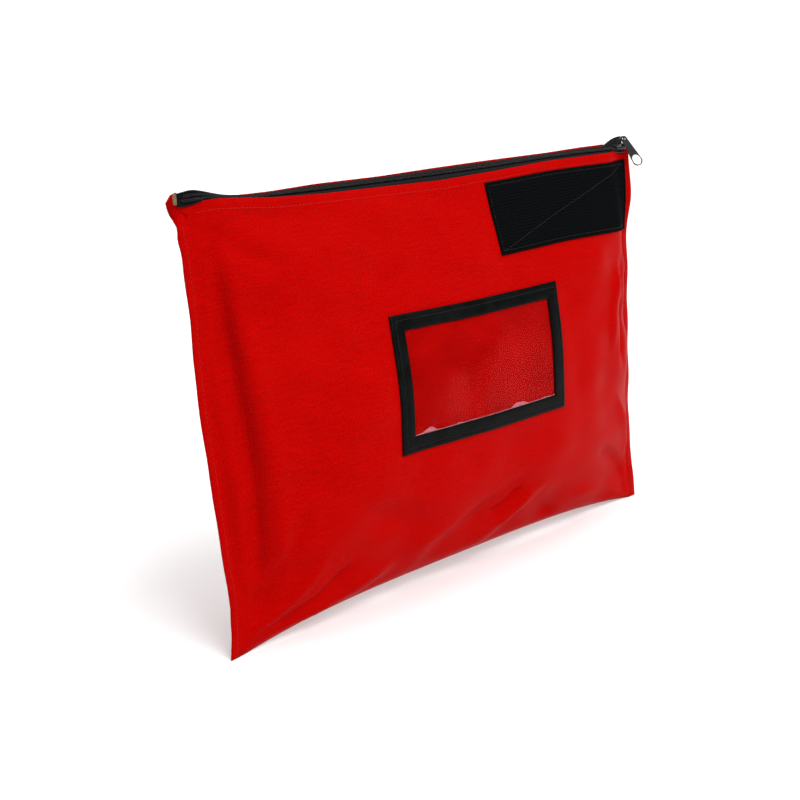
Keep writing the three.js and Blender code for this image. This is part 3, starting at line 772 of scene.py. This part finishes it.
def smooth_by_angle(piece, degrees=35):
    select([piece])
    bpy.ops.object.shade_smooth_by_angle(angle=math.radians(degrees))


SLIDER_LENGTH = SLIDER_HIGH[0] - SLIDER_LOW[0]
SLIDER_X = (SLIDER_HIGH[0] + SLIDER_LOW[0]) / 2
SLIDER_HALF = 0.0039
SLIDER_TOP = 0.0034
SLIDER_BOTTOM = -0.0022
PLATE = 0.001
PLATE_EDGE = 0.00032
NOSE = 0.002
WEB = 0.0002
LIP = 0.0005
LIP_INSET = 0.0001
BAIL_HALF_SPAN = 0.005
BAIL_TOP = 0.0118
BAIL_HALF_WIDTH = 0.00065
BAIL_HALF_THICK = 0.0006
BOSS = (0.0013, 0.0011)
PIVOT_HEIGHT = 0.0092


def slider(material):
    half = SLIDER_LENGTH / 2
    side = SLIDER_HALF
    # half of the plates' outline, from the narrow mouth to the round nose
    flank = [(-half, 0.72 * side), (-half + 0.0008, 0.8 * side), (-0.001, side), (half - 0.0022, side)]
    outline = [(x, -y) for x, y in flank]
    outline += arc(half - NOSE, -side + NOSE, NOSE, NOSE, -80, 0, 5)
    outline += arc(half - NOSE, side - NOSE, NOSE, NOSE, 0, 80, 5)
    outline += reversed(flank)
    pieces = [from_outline(name, outline, foot, foot + PLATE, material, PLATE_EDGE, 3)
              for name, foot in (("slider_top", SLIDER_TOP - PLATE), ("slider_foot", SLIDER_BOTTOM))]
    web = [(0.0012, -WEB), (half - 0.0008, -WEB), (half - 0.0008, WEB), (0.0012, WEB)]
    pieces.append(from_outline("slider_web", web, SLIDER_BOTTOM + 0.0005, SLIDER_TOP - 0.0005, material,
                               0.00005, 1))
    for sign in (-1, 1):
        outer = [(-half + 0.001, 0.8 * side - LIP_INSET), (-0.001, side - LIP_INSET),
                 (half - NOSE, side - LIP_INSET)]
        lip = [(x, sign * y) for x, y in outer + [(x, y - LIP) for x, y in reversed(outer)]]
        if sign > 0:
            lip.reverse()
        pieces.append(from_outline("slider_lip", lip, 0.0009, SLIDER_TOP - 0.0003, material, 0.00015, 2))
    foot_z = SLIDER_TOP - 0.0003
    top_z = BAIL_TOP - 0.0007
    span = BAIL_HALF_SPAN
    knots = np.array([(-span, foot_z), (-0.98 * span, 0.5 * PIVOT_HEIGHT),
                      (-0.80 * span, 0.78 * PIVOT_HEIGHT), (-0.40 * span, PIVOT_HEIGHT + 0.0006),
                      (0.02 * span, top_z - 0.0002), (0.40 * span, top_z),
                      (0.88 * span, PIVOT_HEIGHT + 0.0004), (span, 0.6 * PIVOT_HEIGHT), (span, foot_z)])
    share = np.linspace(0, len(knots) - 1, 49)
    path = np.stack([soft_knots(knots[:, 0], share), 0 * share, soft_knots(knots[:, 1], share)], -1)
    bail = strap("slider_bail", path, BAIL_HALF_WIDTH, BAIL_HALF_THICK, material)
    for sign in (-1, 1):
        pieces.append(from_outline("slider_boss", arc(sign * span, 0, *BOSS, 0, 345, 20),
                                   SLIDER_TOP - 0.0002, SLIDER_TOP + 0.0009, material, 0.0003, 2))
    whole = merge("slider_metal_body", pieces + [bail])
    smooth_by_angle(whole)
    turn = Matrix.Translation((SLIDER_X, SEAM_Y, ZIP_Z)) @ Matrix.Rotation(ZIP_TILT, 4, "X")
    whole.data.transform(turn)
    attached(whole, "slider", "slider_body")


def strap(name, path, half_width, half_thick, material):
    """A strap with rounded edges along a path in the x, z plane."""
    tangent = unit(np.gradient(path, axis=0))
    outward = np.stack([-tangent[:, 2], 0 * tangent[:, 0], tangent[:, 0]], -1)
    sideways = np.array([0.0, 1.0, 0.0])
    turn = np.linspace(0, 2 * np.pi, 20, endpoint=False)
    wide = np.sign(np.cos(turn)) * np.abs(np.cos(turn)) ** 0.5 * half_width
    thick = np.sign(np.sin(turn)) * np.abs(np.sin(turn)) ** 0.5 * half_thick
    points = path[:, None] + wide[:, None] * sideways + thick[:, None] * outward[:, None]
    count = len(turn)
    ends = [tuple(reversed(range(count))), tuple((len(path) - 1) * count + i for i in range(count))]
    return mesh_object(name, points.reshape(-1, 3), ends + ring_faces(len(path), count), material)


def soft_knots(values, share):
    """Smooth values between knots, as a Catmull-Rom line."""
    values = np.concatenate([[2 * values[0] - values[1]], values, [2 * values[-1] - values[-2]]])
    k = np.minimum(share.astype(int), len(values) - 4)
    t = share - k
    a, b, c, d = (values[k + n] for n in range(4))
    square, cube = 2 * a - 5 * b + 4 * c - d, 3 * b - a - 3 * c + d
    return 0.5 * (2 * b + (c - a) * t + square * t**2 + cube * t**3)


TAB_NECK = 0.0026
TAB_END = 0.0044
TAB_LENGTH = 0.028
TAB_THICKNESS = 0.001
TAB_EDGE = 0.00028
TAB_EYE = 0.0013
TAB_RIM = 0.0008
TAB_HOLE_LENGTH = 0.0098
TAB_DROP = math.radians(58.7)
TAB_TURN = math.radians(7)
TAB_ROLL = math.radians(-38.4)


def pull_tab(material):
    joint = next(j for j in frame["joints"] if j["name"] == "pull_tab_swing")
    tip = TAB_LENGTH - TAB_END
    outline = arc(0, 0, TAB_NECK, TAB_NECK, 0, 180, 24) + arc(0, -tip, TAB_END, TAB_END, 180, 360, 32)
    eye = list(reversed(arc(0, 0, TAB_EYE, TAB_EYE, 0, 345, 24)))
    hole_middle = TAB_HOLE_LENGTH / 2 + TAB_RIM - TAB_LENGTH
    hole = list(reversed(arc(0, hole_middle, TAB_END - TAB_RIM, TAB_HOLE_LENGTH / 2, 0, 352, 44)))
    half = TAB_THICKNESS / 2
    tab = from_outline("pull_tab_metal", outline, -half, half, material, TAB_EDGE, 3, (eye, hole))
    smooth_by_angle(tab)
    turn = (Matrix.Rotation(TAB_DROP, 4, "X") @ Matrix.Rotation(TAB_TURN, 4, "Z")
            @ Matrix.Rotation(TAB_ROLL, 4, "Y"))
    tab.data.transform(Matrix.Translation(Vector(joint["pos_m"])) @ turn)
    attached(tab, "pull_tab", "pull_tab")


# the bottom stop: half its size along and across the chain, and how far left of its CAD place it sits
STOP_HALF_X = 0.0012
STOP_HALF_Y = 0.0034
STOP_OUT = 0.0017
STOP_EDGE = 0.0004
TOP_STOP_Y = 0.0018
TOP_STOP_HALF = 0.0011


def stops(brass, nylon):
    """The bottom stop is a brass staple round both coils; the top stops are two small clips."""
    half = np.array([STOP_HALF_X, STOP_HALF_Y])
    outline = np.clip(np.array(arc(0, 0, *half, 0, 352, 40)) * (1.5, 1.2), -half, half).tolist()
    plate = from_outline("bottom_stop_metal", outline, 0.0006, 0.0022, brass, STOP_EDGE, 3)
    smooth_by_angle(plate, 50)
    middle = STOP_LOW[0] + STOP_HALF_X - STOP_OUT
    tilt = ZIP_TILT + float(soft_line(CHAIN_TURN, middle - MID_X))
    place = Vector(zip_point(middle, 0.0, 0.0).tolist())
    plate.data.transform(Matrix.Translation(place) @ Matrix.Rotation(tilt, 4, "X"))
    attached(plate, "pouch", "zip_bottom_stop")
    for part, sign in (("front", -1), ("back", 1)):
        low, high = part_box("zip_top_stop_" + part)
        outline = arc(0, sign * TOP_STOP_Y, (high[0] - low[0]) / 2, TOP_STOP_HALF, 0, 352, 28)
        clip = from_outline("top_stop_" + part, outline, 0.0003, 0.0021, nylon, STOP_EDGE, 3)
        smooth_by_angle(clip, 50)
        place = Matrix.Translation(((low[0] + high[0]) / 2, SEAM_Y, ZIP_Z))
        clip.data.transform(place @ Matrix.Rotation(ZIP_TILT, 4, "X"))
        attached(clip, "pouch", "zip_top_stop_" + part)


# ---- materials ----
def add_node(tree, kind, inputs=None, **settings):
    """A new node; each input is another node's output, or a value."""
    made = tree.nodes.new(kind)
    for setting, value in settings.items():
        setattr(made, setting, value)
    for socket, value in (inputs or {}).items():
        if isinstance(value, bpy.types.NodeSocket):
            tree.links.new(value, made.inputs[socket])
        else:
            made.inputs[socket].default_value = value
    return made


class Shader:
    """A node material, written as a few chained calls."""

    def __init__(self, name, **sockets):
        self.material = bpy.data.materials.new(name)
        self.material.use_nodes = True
        self.tree = self.material.node_tree
        self.bsdf = self.tree.nodes["Principled BSDF"]
        for socket, value in sockets.items():
            self.bsdf.inputs[socket.replace("_", " ")].default_value = value

    def node(self, kind, inputs=None, **settings):
        return add_node(self.tree, kind, inputs, **settings)

    def set(self, socket, value):
        self.tree.links.new(value, self.bsdf.inputs[socket])

    def finished(self, color, roughness, normal):
        self.set("Base Color", color)
        self.set("Roughness", roughness)
        self.set("Normal", normal)
        return self.material

    def flat(self):
        return self.node("ShaderNodeAttribute", attribute_name="flat").outputs["Vector"]

    def place(self):
        return self.node("ShaderNodeTexCoord").outputs["Object"]

    def stretched(self, vector, scale):
        return self.node("ShaderNodeMapping", {"Vector": vector, "Scale": scale}).outputs["Vector"]

    def noise(self, vector, scale, detail=3.0, roughness=0.55):
        inputs = {"Vector": vector, "Scale": scale, "Detail": detail, "Roughness": roughness}
        return self.node("ShaderNodeTexNoise", inputs).outputs["Fac"]

    def wave(self, vector, scale, direction, distortion=0.0):
        inputs = {"Vector": vector, "Scale": scale, "Distortion": distortion}
        return self.node("ShaderNodeTexWave", inputs, bands_direction=direction).outputs["Fac"]

    def math(self, operation, first, second):
        return self.node("ShaderNodeMath", {0: first, 1: second}, operation=operation).outputs[0]

    def sum(self, first, share, second, other):
        """first times its share, plus second times the other share."""
        parts = (self.math("MULTIPLY", first, share), self.math("MULTIPLY", second, other))
        return self.math("ADD", *parts)

    def span(self, value, low, high, from_low=0.0, from_high=1.0):
        inputs = {"Value": value, "From Min": from_low, "From Max": from_high, "To Min": low,
                  "To Max": high}
        return self.node("ShaderNodeMapRange", inputs).outputs["Result"]

    def blend(self, factor, first, second):
        inputs = {0: factor, 6: first, 7: second}
        return self.node("ShaderNodeMix", inputs, data_type="RGBA").outputs[2]

    def bump(self, height, distance, strength=1.0, normal=None):
        inputs = {"Height": height, "Distance": distance, "Strength": strength}
        if normal is not None:
            inputs["Normal"] = normal
        return self.node("ShaderNodeBump", inputs).outputs["Normal"]


def per_pitch(pitch):
    """Scale of a wave texture for threads that far apart."""
    return 1 / (2 * pitch) / 3.1416


def woven(shader, vector, pitch):
    """Height of a plain weave: over and under threads in both directions."""
    warp, weft = (shader.wave(vector, per_pitch(pitch), axis) for axis in "XY")
    return shader.math("MULTIPLY", warp, weft)


def nylon_material():
    shader = Shader("red_nylon", Specular_IOR_Level=0.022, Sheen_Weight=0.006, Sheen_Roughness=0.4)
    shader.bsdf.inputs["Specular Tint"].default_value = (1.0, 0.12, 0.10, 1)
    shader.bsdf.inputs["Sheen Tint"].default_value = (1.0, 0.2, 0.15, 1)
    flat = shader.flat()
    weave = woven(shader, flat, 0.0008)
    grain = shader.noise(shader.stretched(flat, (1, 0.45, 1)), 900, 3.0, 0.6)
    streak = shader.noise(shader.stretched(flat, (1, 14, 1)), 60, 3.0)
    cloud = shader.noise(flat, 14, 4.0)
    mottle = shader.sum(grain, 0.55, streak, 0.45)
    tone = shader.span(mottle, 0.0, 1.0, 0.30, 0.70)
    cloth = shader.blend(tone, (0.29, 0.0005, 0.0004, 1), (0.43, 0.0014, 0.0008, 1))
    aged = shader.blend(shader.span(cloud, 0.0, 0.35, 0.45, 0.75), cloth, (0.39, 0.0026, 0.0012, 1))
    coarse = shader.bump(grain, 0.00022, 0.6)
    return shader.finished(aged, shader.span(mottle, 0.40, 0.56, 0.3, 0.7),
                           shader.bump(weave, 0.00018, 0.8, coarse))


def tape_material():
    shader = Shader("zip_tape_black", Specular_IOR_Level=0.12, Sheen_Weight=0.02, Sheen_Roughness=0.5)
    flat = shader.flat()
    ribs = shader.wave(flat, per_pitch(0.0009), "DIAGONAL", 0.4)
    fuzz = shader.noise(flat, 1500, 3.0)
    tone = shader.span(shader.math("ADD", ribs, fuzz), 0.0, 1.0, 0.4, 1.6)
    relief = shader.math("ADD", ribs, shader.math("MULTIPLY", fuzz, 0.6))
    return shader.finished(shader.blend(tone, (0.0015, 0.0016, 0.0020, 1), (0.0050, 0.0055, 0.0065, 1)),
                           shader.span(fuzz, 0.7, 0.9), shader.bump(relief, 0.00015, 0.8))


def plain_material(name, dark, light, scale, rough, **sockets):
    """Small mottled finish for nylon wire and moulded pieces."""
    shader = Shader(name, **sockets)
    fine = shader.noise(shader.place(), scale, 4.0)
    return shader.finished(shader.blend(shader.span(fine, 0, 1, 0.35, 0.65), dark, light),
                           shader.span(fine, *rough, 0.3, 0.7), shader.bump(fine, 0.00004, 0.7))


def thread_material(name, dark, light):
    shader = Shader(name, Specular_IOR_Level=0.12, Sheen_Weight=0.03)
    place = shader.place()
    twist = shader.wave(place, 420, "DIAGONAL", 1.5)
    fuzz = shader.noise(place, 2500, 2.0)
    tone = shader.sum(twist, 0.6, fuzz, 0.4)
    return shader.finished(shader.blend(tone, dark, light), shader.span(fuzz, 0.5, 0.75),
                           shader.bump(tone, 0.00012, 0.8))


def vinyl_material():
    shader = Shader("black_vinyl", Specular_IOR_Level=0.055)
    flat = shader.flat()
    cells = shader.node("ShaderNodeTexVoronoi", {"Vector": flat, "Scale": 1100.0}).outputs["Distance"]
    wear = shader.noise(flat, 90, 5.0)
    black = shader.blend(shader.span(wear, 0, 1, 0.4, 0.7), (0.0010, 0.0014, 0.0013, 1),
                         (0.0028, 0.0040, 0.0036, 1))
    soft = shader.bump(wear, 0.0004, 0.5)
    return shader.finished(black, shader.span(wear, 0.36, 0.5, 0.3, 0.7),
                           shader.bump(cells, 0.0001, 0.6, soft))


def loop_material():
    shader = Shader("loop_fabric_black", Specular_IOR_Level=0.02, Sheen_Weight=0.0, Sheen_Roughness=0.6)
    flat = shader.flat()
    loops = shader.noise(flat, 700, 4.0, 0.7)
    rows = shader.wave(flat, 130, "Y", 3.0)
    tone = shader.sum(loops, 0.8, rows, 0.2)
    black = shader.blend(shader.span(tone, 0, 1, 0.3, 0.7), (0.0006, 0.0008, 0.0009, 1),
                         (0.0036, 0.0042, 0.0046, 1))
    return shader.finished(black, shader.span(tone, 0.85, 1.0), shader.bump(tone, 0.0004, 0.9))


# share of the film's reflection that shows, and how strong the highlight painted along its foot is
FILM_GLOSS = 0.007
FILM_PAINTED_HIGHLIGHT = 0.28


def film_material(painted_highlight_foot):
    """Clear soft film: what is behind shows through, under a broken gloss, with a highlight painted
    along its foot.
    """
    shader = Shader("clear_film")
    flat = shader.flat()
    dents = shader.noise(flat, 38, 3.0)
    scuffs = shader.noise(shader.stretched(flat, (1, 2.5, 1)), 90, 3.0, 0.5)
    dust = shader.noise(flat, 22, 4.0)
    uneven = shader.bump(scuffs, 0.00001, 0.3, shader.bump(dents, 0.0006, 0.35))
    haze = shader.blend(shader.span(dust, 0, 1, 0.35, 0.65), (0.97, 0.95, 0.95, 1),
                        (0.90, 0.87, 0.87, 1))
    clear = shader.node("ShaderNodeBsdfTransparent", {"Color": haze})
    # a painted highlight: a pale pink band of uneven height along the film's foot, by the lower strip
    split = shader.node("ShaderNodeSeparateXYZ", {"Vector": flat})
    along, rise = split.outputs["X"], split.outputs["Y"]
    line = shader.node("ShaderNodeCombineXYZ", {"X": along}).outputs["Vector"]
    peaks = shader.noise(line, 42, 2.0, 0.4)
    above = shader.math("SUBTRACT", rise, painted_highlight_foot)
    reach = shader.span(peaks, 0.0006, 0.0052, 0.50, 0.74)
    painted_highlight_band = shader.math("LESS_THAN", above, reach)
    # painted highlight: a flat pale pink diffuse colour that stands in for the film's reflections along
    # its foot
    painted_highlight_bsdf = shader.node("ShaderNodeBsdfDiffuse", {"Color": (0.75, 0.30, 0.36, 1)})
    painted_highlight_share = shader.math("MULTIPLY", painted_highlight_band, FILM_PAINTED_HIGHLIGHT)
    rough = shader.span(scuffs, 0.26, 0.36, 0.35, 0.65)
    gloss = shader.node("ShaderNodeBsdfGlossy", {"Color": (1.0, 0.93, 0.93, 1), "Normal": uneven,
                                                 "Roughness": rough})
    fresnel = shader.node("ShaderNodeFresnel", {"IOR": 1.45, "Normal": uneven}).outputs[0]
    cover = shader.math("MULTIPLY", fresnel, FILM_GLOSS)
    base = shader.node("ShaderNodeMixShader", {0: painted_highlight_share, 1: clear.outputs[0], 2: painted_highlight_bsdf.outputs[0]})
    mix = shader.node("ShaderNodeMixShader", {0: cover, 1: base.outputs[0], 2: gloss.outputs[0]})
    shader.tree.nodes.remove(shader.bsdf)
    output = shader.tree.nodes["Material Output"]
    shader.tree.links.new(mix.outputs[0], output.inputs["Surface"])
    return shader.material


def painted_metal():
    """Black enamel over zinc, rubbed a little on the edges."""
    shader = Shader("slider_enamel", Specular_IOR_Level=0.35)
    place = shader.place()
    wear = shader.noise(place, 700, 5.0, 0.6)
    edge = shader.node("ShaderNodeNewGeometry").outputs["Pointiness"]
    worn = shader.span(wear, 0, 1, 0.45, 0.6)
    rubbed = shader.math("MULTIPLY", shader.span(edge, 0, 1, 0.53, 0.62), worn)
    shader.set("Metallic", shader.span(rubbed, 0.2, 0.95))
    return shader.finished(shader.blend(rubbed, (0.003, 0.0038, 0.0036, 1), (0.10, 0.12, 0.115, 1)),
                           shader.span(wear, 0.28, 0.42, 0.3, 0.7),
                           shader.bump(shader.noise(place, 1800, 3.0), 0.00003, 0.5))


def brass_material():
    shader = Shader("stop_brass", Metallic=1.0)
    tarnish = shader.noise(shader.place(), 500, 5.0)
    brass = shader.blend(shader.span(tarnish, 0, 1, 0.35, 0.7), (0.25, 0.19, 0.10, 1),
                         (0.15, 0.12, 0.06, 1))
    return shader.finished(brass, shader.span(tarnish, 0.28, 0.5), shader.bump(tarnish, 0.00006, 0.7))


# ---- the pouch is put together ----
FRAME_STRIP = 0.0125
FILM_INSET = 0.004
LABEL_SEWING = 0.0043
# the frame's section from its outer to its inner edge (inset, height), pressed in along the sewing
FRAME_PROFILE = ((0.0, 0.0002), (0.0003, 0.0008), (0.0010, 0.0011), (0.0036, 0.0011),
                 (0.0041, 0.00098), (0.0043, 0.00092), (0.0045, 0.00098), (0.0050, 0.0011),
                 (0.0113, 0.0011), (0.0121, 0.0009), (0.0125, 0.0002))
# the label is sewn on a little askew: its top shifted, its foot shifted back, and turned clockwise
LABEL_SHIFT = 0.0004
LABEL_SHEAR = 0.0036
LABEL_TURN = 0.00096
LABEL_DROP = 0.0003

NYLON = nylon_material()
TAPE_BLACK = tape_material()
COIL_BLACK = plain_material("coil_nylon_black", (0.003, 0.003, 0.0035, 1), (0.008, 0.008, 0.009, 1),
                            1500, (0.28, 0.42), Specular_IOR_Level=0.3)
STOP_NYLON = plain_material("top_stop_black", (0.006, 0.006, 0.007, 1), (0.018, 0.018, 0.02, 1),
                            900, (0.3, 0.45), Specular_IOR_Level=0.5)
VINYL = vinyl_material()
LOOP = loop_material()
FILM = film_material(float(pattern_up(FRAME_LOW[2])) * WALL_HEIGHT + FRAME_STRIP)
RED_THREAD = thread_material("red_thread", (0.26, 0.001, 0.001, 1), (0.56, 0.006, 0.004, 1))
BLACK_THREAD = thread_material("black_thread", (0.003, 0.003, 0.0035, 1), (0.012, 0.012, 0.013, 1))
ENAMEL = painted_metal()
BRASS = brass_material()

front_points, back_points = start_walls()
front_points = wrinkled(front_points, 1, FRONT_FOLDS, FRONT_SEED, stiffened(*wall_grid()))
back_points = wrinkled(back_points, -1, BACK_FOLDS, BACK_SEED)
front_strip, back_strip = pouch_strip(front_points, back_points)
front_wall = Wall(front_strip, 1)
back_wall = Wall(back_strip, -1)


def build_zip():
    for part, sign, wall in (("front", -1, front_wall), ("back", 1, back_wall)):
        tape(part, sign, wall, TAPE_BLACK)
        coil(part, sign, COIL_BLACK)
    coil_stitches(BLACK_THREAD)
    slider(ENAMEL)
    pull_tab(ENAMEL)
    stops(BRASS, STOP_NYLON)


class Askew:
    """The front wall as the label lies on it, sheared and turned about the label's middle."""

    def __init__(self, wall):
        low, high = label_corners()
        self.wall = wall
        self.middle = (np.array(low) + high) / 2
        self.half = (np.array(high) - low) / 2

    def at(self, across, up, out=0.0):
        share_across = (np.asarray(across) - self.middle[0]) / self.half[0]
        share_up = (np.asarray(up) - self.middle[1]) / self.half[1]
        lower = (LABEL_DROP + LABEL_TURN * share_across) / WALL_HEIGHT
        return self.wall.at(across + LABEL_SHIFT + LABEL_SHEAR * share_up, up - lower, out)


def label_corners(inset=0.0):
    low = (FRAME_LOW[0] - MID_X + inset, float(pattern_up(FRAME_LOW[2] + inset)))
    high = (FRAME_HIGH[0] - MID_X - inset, float(pattern_up(FRAME_HIGH[2] - inset)))
    return low, high


def build_label():
    label_wall = Askew(front_wall)
    low, high = label_corners(FILM_INSET)

    def waviness(across, up):
        inside = smoothstep((across - low[0]) / 0.02) * smoothstep((high[0] - across) / 0.02)
        inside = inside * smoothstep((up - low[1]) / 0.06) * smoothstep((high[1] - up) / 0.06)
        swell = 0.0007 + 0.0004 * np.sin(across * 62 + up * 9) + 0.0004 * np.sin(across * 38 - up * 31)
        foot = 0.0004 * np.sin(across * 330 + 2 * np.sin(across * 90)) * np.exp(-(up - low[1]) / 0.05)
        return inside * np.maximum(swell + foot, 0.0002)

    film = laid_sheet("label_film", label_wall, low, high, FACE + 0.00015, 0.0003, FILM, 0.002, waviness)
    attached(film, "pouch", "label_window")
    base = FACE + 0.0007
    profile = tuple((inset, base + height) for inset, height in FRAME_PROFILE)
    ring = frame_ring("label_vinyl", label_wall, *label_corners(), profile, base - 0.0003, VINYL,
                      0.0025)
    attached(ring, "pouch", "label_frame")
    rows = sewn_round(label_wall.at, *label_corners(LABEL_SEWING), base + 0.001, LABEL_SEED)
    stitched("label_sewing", rows, BLACK_THREAD, "label_stitch")


PATCH_RAISED = 0.002
PATCH_PAST_SEAM = 0.0042
PATCH_SEWING = 0.003
PILE_SEED = 5
PILE_ROUGH = 0.00007


def build_patch():
    foot, head = (1 - (HEM_LEVEL - z - PATCH_RAISED) / WALL_HEIGHT
                  for z in (PATCH_LOW[2], PATCH_HIGH[2]))
    low = (PATCH_LOW[0] - MID_X, foot)
    high = (SEAM_X + PATCH_PAST_SEAM, head)

    def pile(across, up):
        rough = np.random.default_rng(PILE_SEED).normal(0, PILE_ROUGH, across.shape)
        edge = np.minimum(np.minimum(across - low[0], high[0] - across),
                          np.minimum(up - low[1], high[1] - up) * WALL_HEIGHT)
        hug = -0.0005 * np.exp(-((edge - PATCH_SEWING) / 0.0012) ** 2)
        return rough + hug

    patch = laid_sheet("patch_loop", front_wall, low, high, FACE + 0.0001, 0.0012, LOOP, 0.0015, pile)
    attached(patch, "pouch", "corner_patch")
    a = (low[0] + PATCH_SEWING, low[1] + PATCH_SEWING / WALL_HEIGHT)
    b = (high[0] - PATCH_SEWING, high[1] - PATCH_SEWING / WALL_HEIGHT)
    out = FACE + 0.0009
    rows = sewn_round(front_wall.at, a, b, out, PATCH_SEED)
    rows.append(stitch_row(front_wall.at, a, b, out + 0.0004, DIAGONAL_SEED))
    stitched("patch_sewing", rows, BLACK_THREAD, "patch_stitch")


HEM_SEWING_DROP = 0.006
HEM_SEWING_END = 0.2135
# shares of the height at which the side sewing starts and ends
SIDE_SEWN = (0.012, 0.985)


def build_sewing():
    level = 1 - HEM_SEWING_DROP / WALL_HEIGHT
    for part, wall in (("front", front_wall), ("back", back_wall)):
        row = stitch_row(wall.at, (-HEM_SEWING_END, level), (HEM_SEWING_END, level), FACE, HEM_SEED)
        stitched("hem_sewing_" + part, [row], RED_THREAD, "hem_stitch_" + part)
    for part, side in (("left", -1), ("right", 1)):
        seam = front_points[:, 0 if side < 0 else -1]
        half = (seam + side_flange(front_points, back_points, side)[:, -1]) / 2
        rows = []
        for face in (-1, 1):
            def surface(_, up, lift, face=face, half=half):
                place = float(np.clip(up, 0, 1)) * (len(half) - 1)
                k = min(int(place), len(half) - 2)
                point = half[k] + (half[k + 1] - half[k]) * (place - k)
                return point + np.array([0, face * lift, 0])
            start, end = ((0, share) for share in SIDE_SEWN)
            rows.append(stitch_row(surface, start, end, FACE, SIDE_SEED + face))
        stitched("side_sewing_" + part, rows, RED_THREAD, "side_stitch_" + part)


cloth = attached(body_shell(front_strip, back_strip, NYLON), "pouch", "body_panel")
build_zip()
build_label()
build_patch()
build_sewing()


# ---- floor, light and camera ----
FLOOR_HALF = 40.0
AMBIENT = 0.19
BACKDROP = 1.05
CAMERA_AZIMUTH = math.radians(39.22)
CAMERA_DOWN = math.radians(13.05)
CAMERA_ROLL = math.radians(-4.8)
CAMERA_PLACE = (-0.58537, -0.65231, 0.34878)
CAMERA_LENS = 50.07


def build_studio():
    shader = Shader("floor_paper", Roughness=0.9, Specular_IOR_Level=0.1)
    speck = shader.noise(shader.place(), 40, 4.0)
    shader.set("Base Color", shader.blend(speck, (0.95, 0.95, 0.95, 1), (0.97, 0.97, 0.97, 1)))
    mesh = bpy.data.meshes.new("floor")
    corners = [(x * FLOOR_HALF, y * FLOOR_HALF, 0) for x, y in ((-1, -1), (1, -1), (1, 1), (-1, 1))]
    mesh.from_pydata(corners, [], [(0, 1, 2, 3)])
    mesh.materials.append(shader.material)
    linked("floor", mesh)

    world = bpy.data.worlds.new("studio")
    bpy.context.scene.world = world
    world.use_nodes = True
    tree = world.node_tree
    # white behind the object as the photographer sees it, softer light from the other sides
    way = add_node(tree, "ShaderNodeTexCoord").outputs["Generated"]
    ahead = (math.sin(CAMERA_AZIMUTH), math.cos(CAMERA_AZIMUTH), 0)
    toward = add_node(tree, "ShaderNodeVectorMath", {0: way, 1: ahead}, operation="DOT_PRODUCT")
    inputs = {"Value": toward.outputs["Value"], "From Min": 0.6, "From Max": 0.87,
              "To Min": AMBIENT, "To Max": BACKDROP}
    level = add_node(tree, "ShaderNodeMapRange", inputs, interpolation_type="SMOOTHSTEP")
    # the backdrop itself is plain white from every side
    rays = add_node(tree, "ShaderNodeLightPath").outputs["Is Camera Ray"]
    seen = add_node(tree, "ShaderNodeMath", {0: level.outputs["Result"], 1: rays}, operation="MAXIMUM")
    background = tree.nodes["Background"]
    background.inputs["Color"].default_value = (1, 1, 1, 1)
    tree.links.new(seen.outputs[0], background.inputs["Strength"])

    def light(name, kind, place, target, power, **settings):
        lamp = bpy.data.lights.new(name, kind)
        lamp.energy = power
        for setting, value in settings.items():
            setattr(lamp, setting, value)
        holder = linked(name, lamp)
        holder.location = place
        way = Vector(target) - Vector(place)
        holder.rotation_euler = way.to_track_quat("-Z", "Y").to_euler()

    middle = (MID_X, SEAM_Y, 0.16)
    light("key", "SUN", (0.20, -1.5, 1.55), middle, 2.78, angle=math.radians(42))
    light("overhead", "SUN", (0.0, 0.2, 3.0), (0, 0, 0), 1.5, angle=math.radians(70))
    light("side", "AREA", (-1.3, -0.7, 0.7), middle, 1.6, size=0.5)
    light("top", "AREA", (0.3, -0.2, 1.3), middle, 3, size=0.9)


def build_camera():
    sin_a, cos_a = math.sin(CAMERA_AZIMUTH), math.cos(CAMERA_AZIMUTH)
    sin_e, cos_e = math.sin(CAMERA_DOWN), math.cos(CAMERA_DOWN)
    right = Vector((cos_a, -sin_a, 0))
    ahead = Vector((sin_a * cos_e, cos_a * cos_e, -sin_e))
    up = right.cross(ahead)
    sin_r, cos_r = math.sin(CAMERA_ROLL), math.cos(CAMERA_ROLL)
    x_axis = right * cos_r + up * sin_r
    y_axis = up * cos_r - right * sin_r
    data = bpy.data.cameras.new("camera")
    data.lens = CAMERA_LENS
    data.sensor_width = 36
    data.clip_start = 0.02
    camera = linked("camera", data)
    axes = Matrix((x_axis, y_axis, -ahead)).transposed().to_4x4()
    place = Vector(CAMERA_PLACE) + Vector((MID_X, SEAM_Y, 0))
    camera.matrix_world = Matrix.Translation(place) @ axes
    bpy.context.scene.camera = camera


build_studio()
build_camera()
bpy.context.scene.view_settings.view_transform = "Standard"
